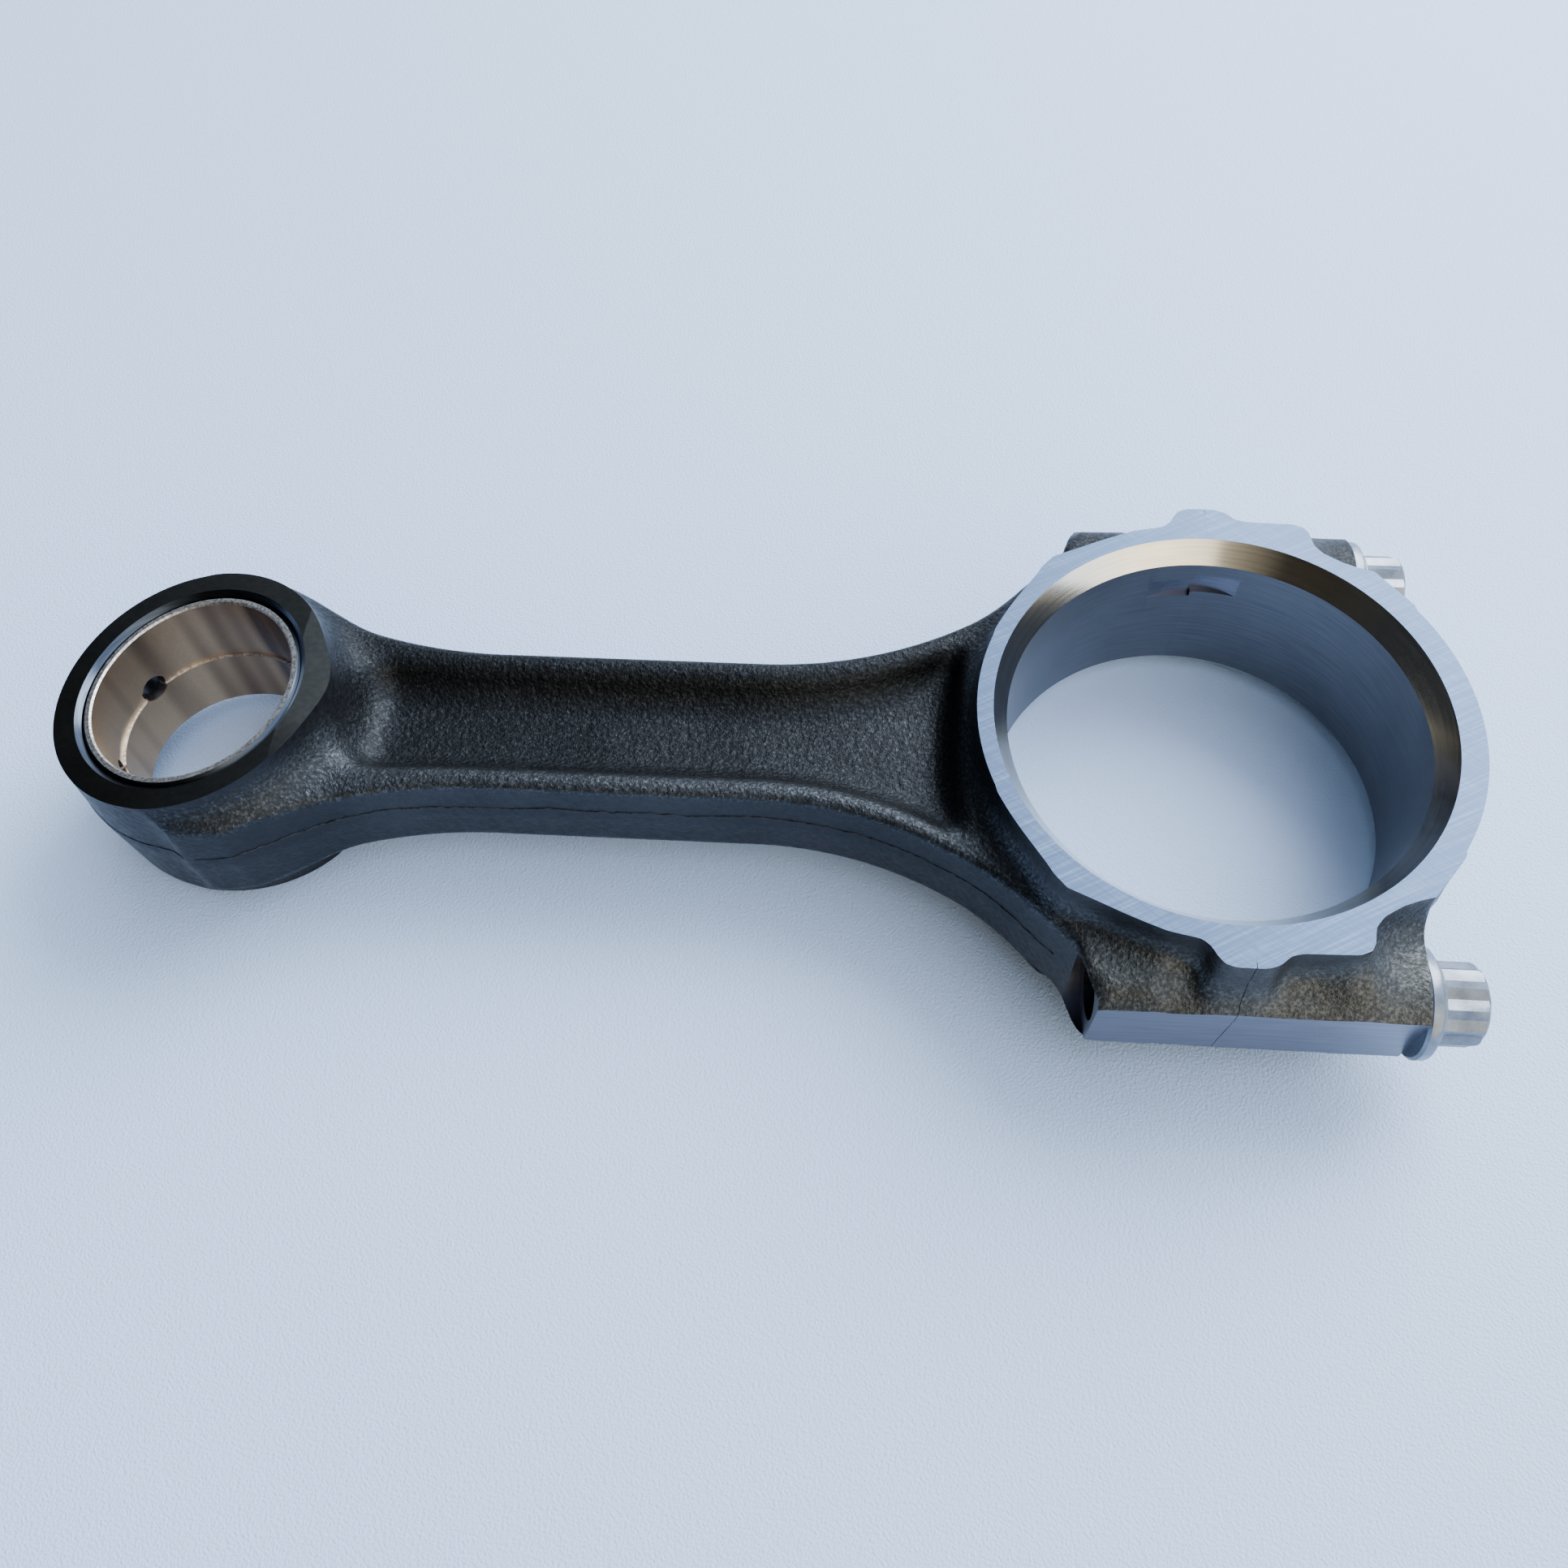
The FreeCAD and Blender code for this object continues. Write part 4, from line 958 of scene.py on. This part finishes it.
def bolt_forming():
    """Geometry Nodes: press the twelve points and roll the thread."""
    tree = bpy.data.node_groups.new("bolt_forming", "GeometryNodeTree")
    face = tree.interface
    face.new_socket("Geometry", in_out="INPUT", socket_type="NodeSocketGeometry")
    for label in ("Axis Y", "Seat X", "Apothem", "Head From",
                  "Thread From", "Thread To", "Pitch", "Depth"):
        face.new_socket(label, in_out="INPUT", socket_type="NodeSocketFloat")
    face.new_socket("Material", in_out="INPUT", socket_type="NodeSocketMaterial")
    face.new_socket("Geometry", in_out="OUTPUT", socket_type="NodeSocketGeometry")
    given = tree.nodes.new("NodeGroupInput").outputs

    def calc(operation, a, b=0.0, c=0.0):
        return maths(tree, operation, a, b, c)

    place = node(tree, "GeometryNodeInputPosition").outputs[0]
    parts = node(tree, "ShaderNodeSeparateXYZ", Vector=place).outputs
    along = calc("SUBTRACT", parts["X"], given["Seat X"])
    y = calc("SUBTRACT", parts["Y"], given["Axis Y"])
    radius = calc("SQRT", calc("ADD", calc("MULTIPLY", y, y),
                               calc("MULTIPLY", parts["Z"], parts["Z"])))
    turn = calc("ARCTAN2", parts["Z"], y)

    # two hexagons, half a flat apart: the outline is whichever stands further out
    sixth = math.radians(60)
    first = calc("PINGPONG", calc("ADD", turn, sixth * 6), sixth / 2)
    second = calc("SUBTRACT", sixth / 2, first)
    furthest = calc("MINIMUM", calc("COSINE", first), calc("COSINE", second))
    star = calc("DIVIDE", given["Apothem"], furthest)
    on_head = calc("GREATER_THAN", along, given["Head From"])
    pressed = calc("MINIMUM", radius, star)

    # helix: a V groove whose depth follows the turn and the distance along
    phase = calc("ADD", calc("DIVIDE", along, given["Pitch"]), calc("DIVIDE", turn, 2 * math.pi))
    groove = calc("MULTIPLY", calc("PINGPONG", calc("ADD", phase, WHOLE_TURNS), 0.5), 2.0)
    start = calc("DIVIDE", calc("SUBTRACT", along, given["Thread From"]), given["Pitch"])
    stop = calc("DIVIDE", calc("SUBTRACT", given["Thread To"], along), given["Pitch"])
    fade = calc("MAXIMUM", calc("MINIMUM", calc("MINIMUM", start, stop), 1.0), 0.0)
    rolled = calc("SUBTRACT", radius,
                  calc("MULTIPLY", calc("MULTIPLY", groove, given["Depth"]), fade))

    wanted = calc("ADD", calc("MULTIPLY", on_head, pressed),
                  calc("MULTIPLY", calc("SUBTRACT", 1.0, on_head), rolled))
    factor = calc("DIVIDE", wanted, calc("MAXIMUM", radius, 1e-6))
    moved = node(tree, "ShaderNodeCombineXYZ", X=parts["X"],
                 Y=calc("MULTIPLY_ADD", y, factor, given["Axis Y"]),
                 Z=calc("MULTIPLY", parts["Z"], factor)).outputs[0]
    shaped = node(tree, "GeometryNodeSetPosition", Geometry=given["Geometry"],
                  Position=moved).outputs[0]
    whole = node(tree, "GeometryNodeRealizeInstances", Geometry=shaped).outputs[0]
    coated = node(tree, "GeometryNodeSetMaterial", Geometry=whole,
                  Material=given["Material"]).outputs[0]
    tree.links.new(coated, tree.nodes.new("NodeGroupOutput").inputs[0])
    return tree


def bolt_steel():
    material, tree, shader = finish("bolt_steel")
    where = object_place(tree)
    patch = grain(tree, where, 160.0, 4.0, 0.6)
    fine = grain(tree, where, 1500.0, 3.0, 0.6)
    tone = ramp(tree, patch, (0.32, (0.13, 0.145, 0.165)), (0.5, (0.195, 0.22, 0.25)),
                (0.68, (0.29, 0.32, 0.365)))
    tree.links.new(mixed(tree, "MULTIPLY", 0.4, tone, ramp(tree, fine, (0.3, 0.75), (0.7, 1.0))),
                   shader.inputs["Base Color"])
    tree.links.new(ramp(tree, patch, (0.3, 0.24), (0.7, 0.36)), shader.inputs["Roughness"])
    relief(tree, shader, fine, 0.00003, 0.7)
    return material


forming, bolt_finish = bolt_forming(), bolt_steel()
for name, side, body in (("bolt_near", -bolt_y, "bolt_near"), ("bolt_far", bolt_y, "bolt_far")):
    bolt = bolt_blank(name, side)
    grow_by_nodes(
        bolt, forming, Axis_Y=side * MILLIMETRE, Seat_X=BOSS_CAP_X * MILLIMETRE,
        Apothem=HEAD_APOTHEM * MILLIMETRE, Head_From=(COLLAR_HEIGHT + 0.2) * MILLIMETRE,
        Thread_From=(0.9 - BOLT_LENGTH) * MILLIMETRE, Thread_To=(-SHANK_LENGTH - 0.8) * MILLIMETRE,
        Pitch=THREAD_PITCH * MILLIMETRE, Depth=THREAD_DEPTH * MILLIMETRE, Material=bolt_finish)
    for face in bolt.data.polygons:
        face.use_smooth = True
    bolt.data.set_sharp_from_angle(angle=math.radians(28))
    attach(bolt, body)
    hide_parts("cap_" + name)

# ---------------------------------------------------------------------------
# Floor, light and camera.  A pale sheet, a large soft window light from the
# far right, a room that is dim on the left, and warmer light on the near side.
# ---------------------------------------------------------------------------

FLOOR_REACH, FLOOR_Z = 9000.0, -half_width - 0.05
WINDOW_PLACE, WINDOW_WIDTH, WINDOW_WATTS = (0.55, 0.75, 0.85), 0.9, 26
CAMERA_PLACE, CAMERA_TURN = (-0.06467, -0.13854, 0.22922), (29.852, 1.685, 3.720)
LENS, SENSOR_WIDTH = 31.22, 36.0
floor = metal("floor", [
    (-FLOOR_REACH, -FLOOR_REACH, FLOOR_Z), (FLOOR_REACH, -FLOOR_REACH, FLOOR_Z),
    (FLOOR_REACH, FLOOR_REACH, FLOOR_Z), (-FLOOR_REACH, FLOOR_REACH, FLOOR_Z),
], [(0, 1, 2, 3)])
paper, tree, shader = finish("floor_paper", 0.0)
crinkle = grain(tree, object_place(tree), 1900.0, 1.5)
shader.inputs["Base Color"].default_value = (0.57, 0.73, 1.0, 1)
shader.inputs["Roughness"].default_value = 0.6
relief(tree, shader, crinkle, 0.0003, 0.7)
floor.data.materials.append(paper)


def soft_light(name, place, target, width, watts, colour):
    data = bpy.data.lights.new(name, "AREA")
    data.size, data.energy, data.color = width, watts, colour
    light = bpy.data.objects.new(name, data)
    light.location = place
    light.rotation_euler = (Vector(target) - Vector(place)).to_track_quat("-Z", "Y").to_euler()
    bpy.context.scene.collection.objects.link(light)


soft_light("window", WINDOW_PLACE, (-0.05, 0, 0), WINDOW_WIDTH, WINDOW_WATTS, (0.93, 0.97, 1.0))

world = bpy.data.worlds.new("room")
bpy.context.scene.world = world
world.use_nodes = True
tree = world.node_tree
way = node(tree, "ShaderNodeSeparateXYZ",
           Vector=node(tree, "ShaderNodeTexCoord").outputs["Generated"]).outputs
rightward = maths(tree, "MULTIPLY_ADD", way["Y"], 0.25, way["X"])
level = ramp(tree, maths(tree, "MULTIPLY_ADD", rightward, 0.4, 0.5),
             (0.27, 0.012), (0.36, 0.08), (0.435, 0.17), (0.475, 0.70), (0.60, 0.95), (1.0, 1.0))
warmth = remap(tree, way["Y"], -0.2, -0.8)
tint = mixed(tree, "MIX", warmth, (0.87, 1.0, 1.24), (1.2, 1.08, 0.86))
tree.links.new(mixed(tree, "MULTIPLY", 1.0, level, tint), tree.nodes["Background"].inputs["Color"])
tree.nodes["Background"].inputs["Strength"].default_value = 2.5

camera_data = bpy.data.cameras.new("camera")
camera = bpy.data.objects.new("camera", camera_data)
bpy.context.scene.collection.objects.link(camera)
camera.location = CAMERA_PLACE
camera.rotation_euler = [math.radians(turn) for turn in CAMERA_TURN]
camera_data.lens, camera_data.sensor_width = LENS, SENSOR_WIDTH
camera_data.shift_y = 0.0031
bpy.context.scene.camera = camera
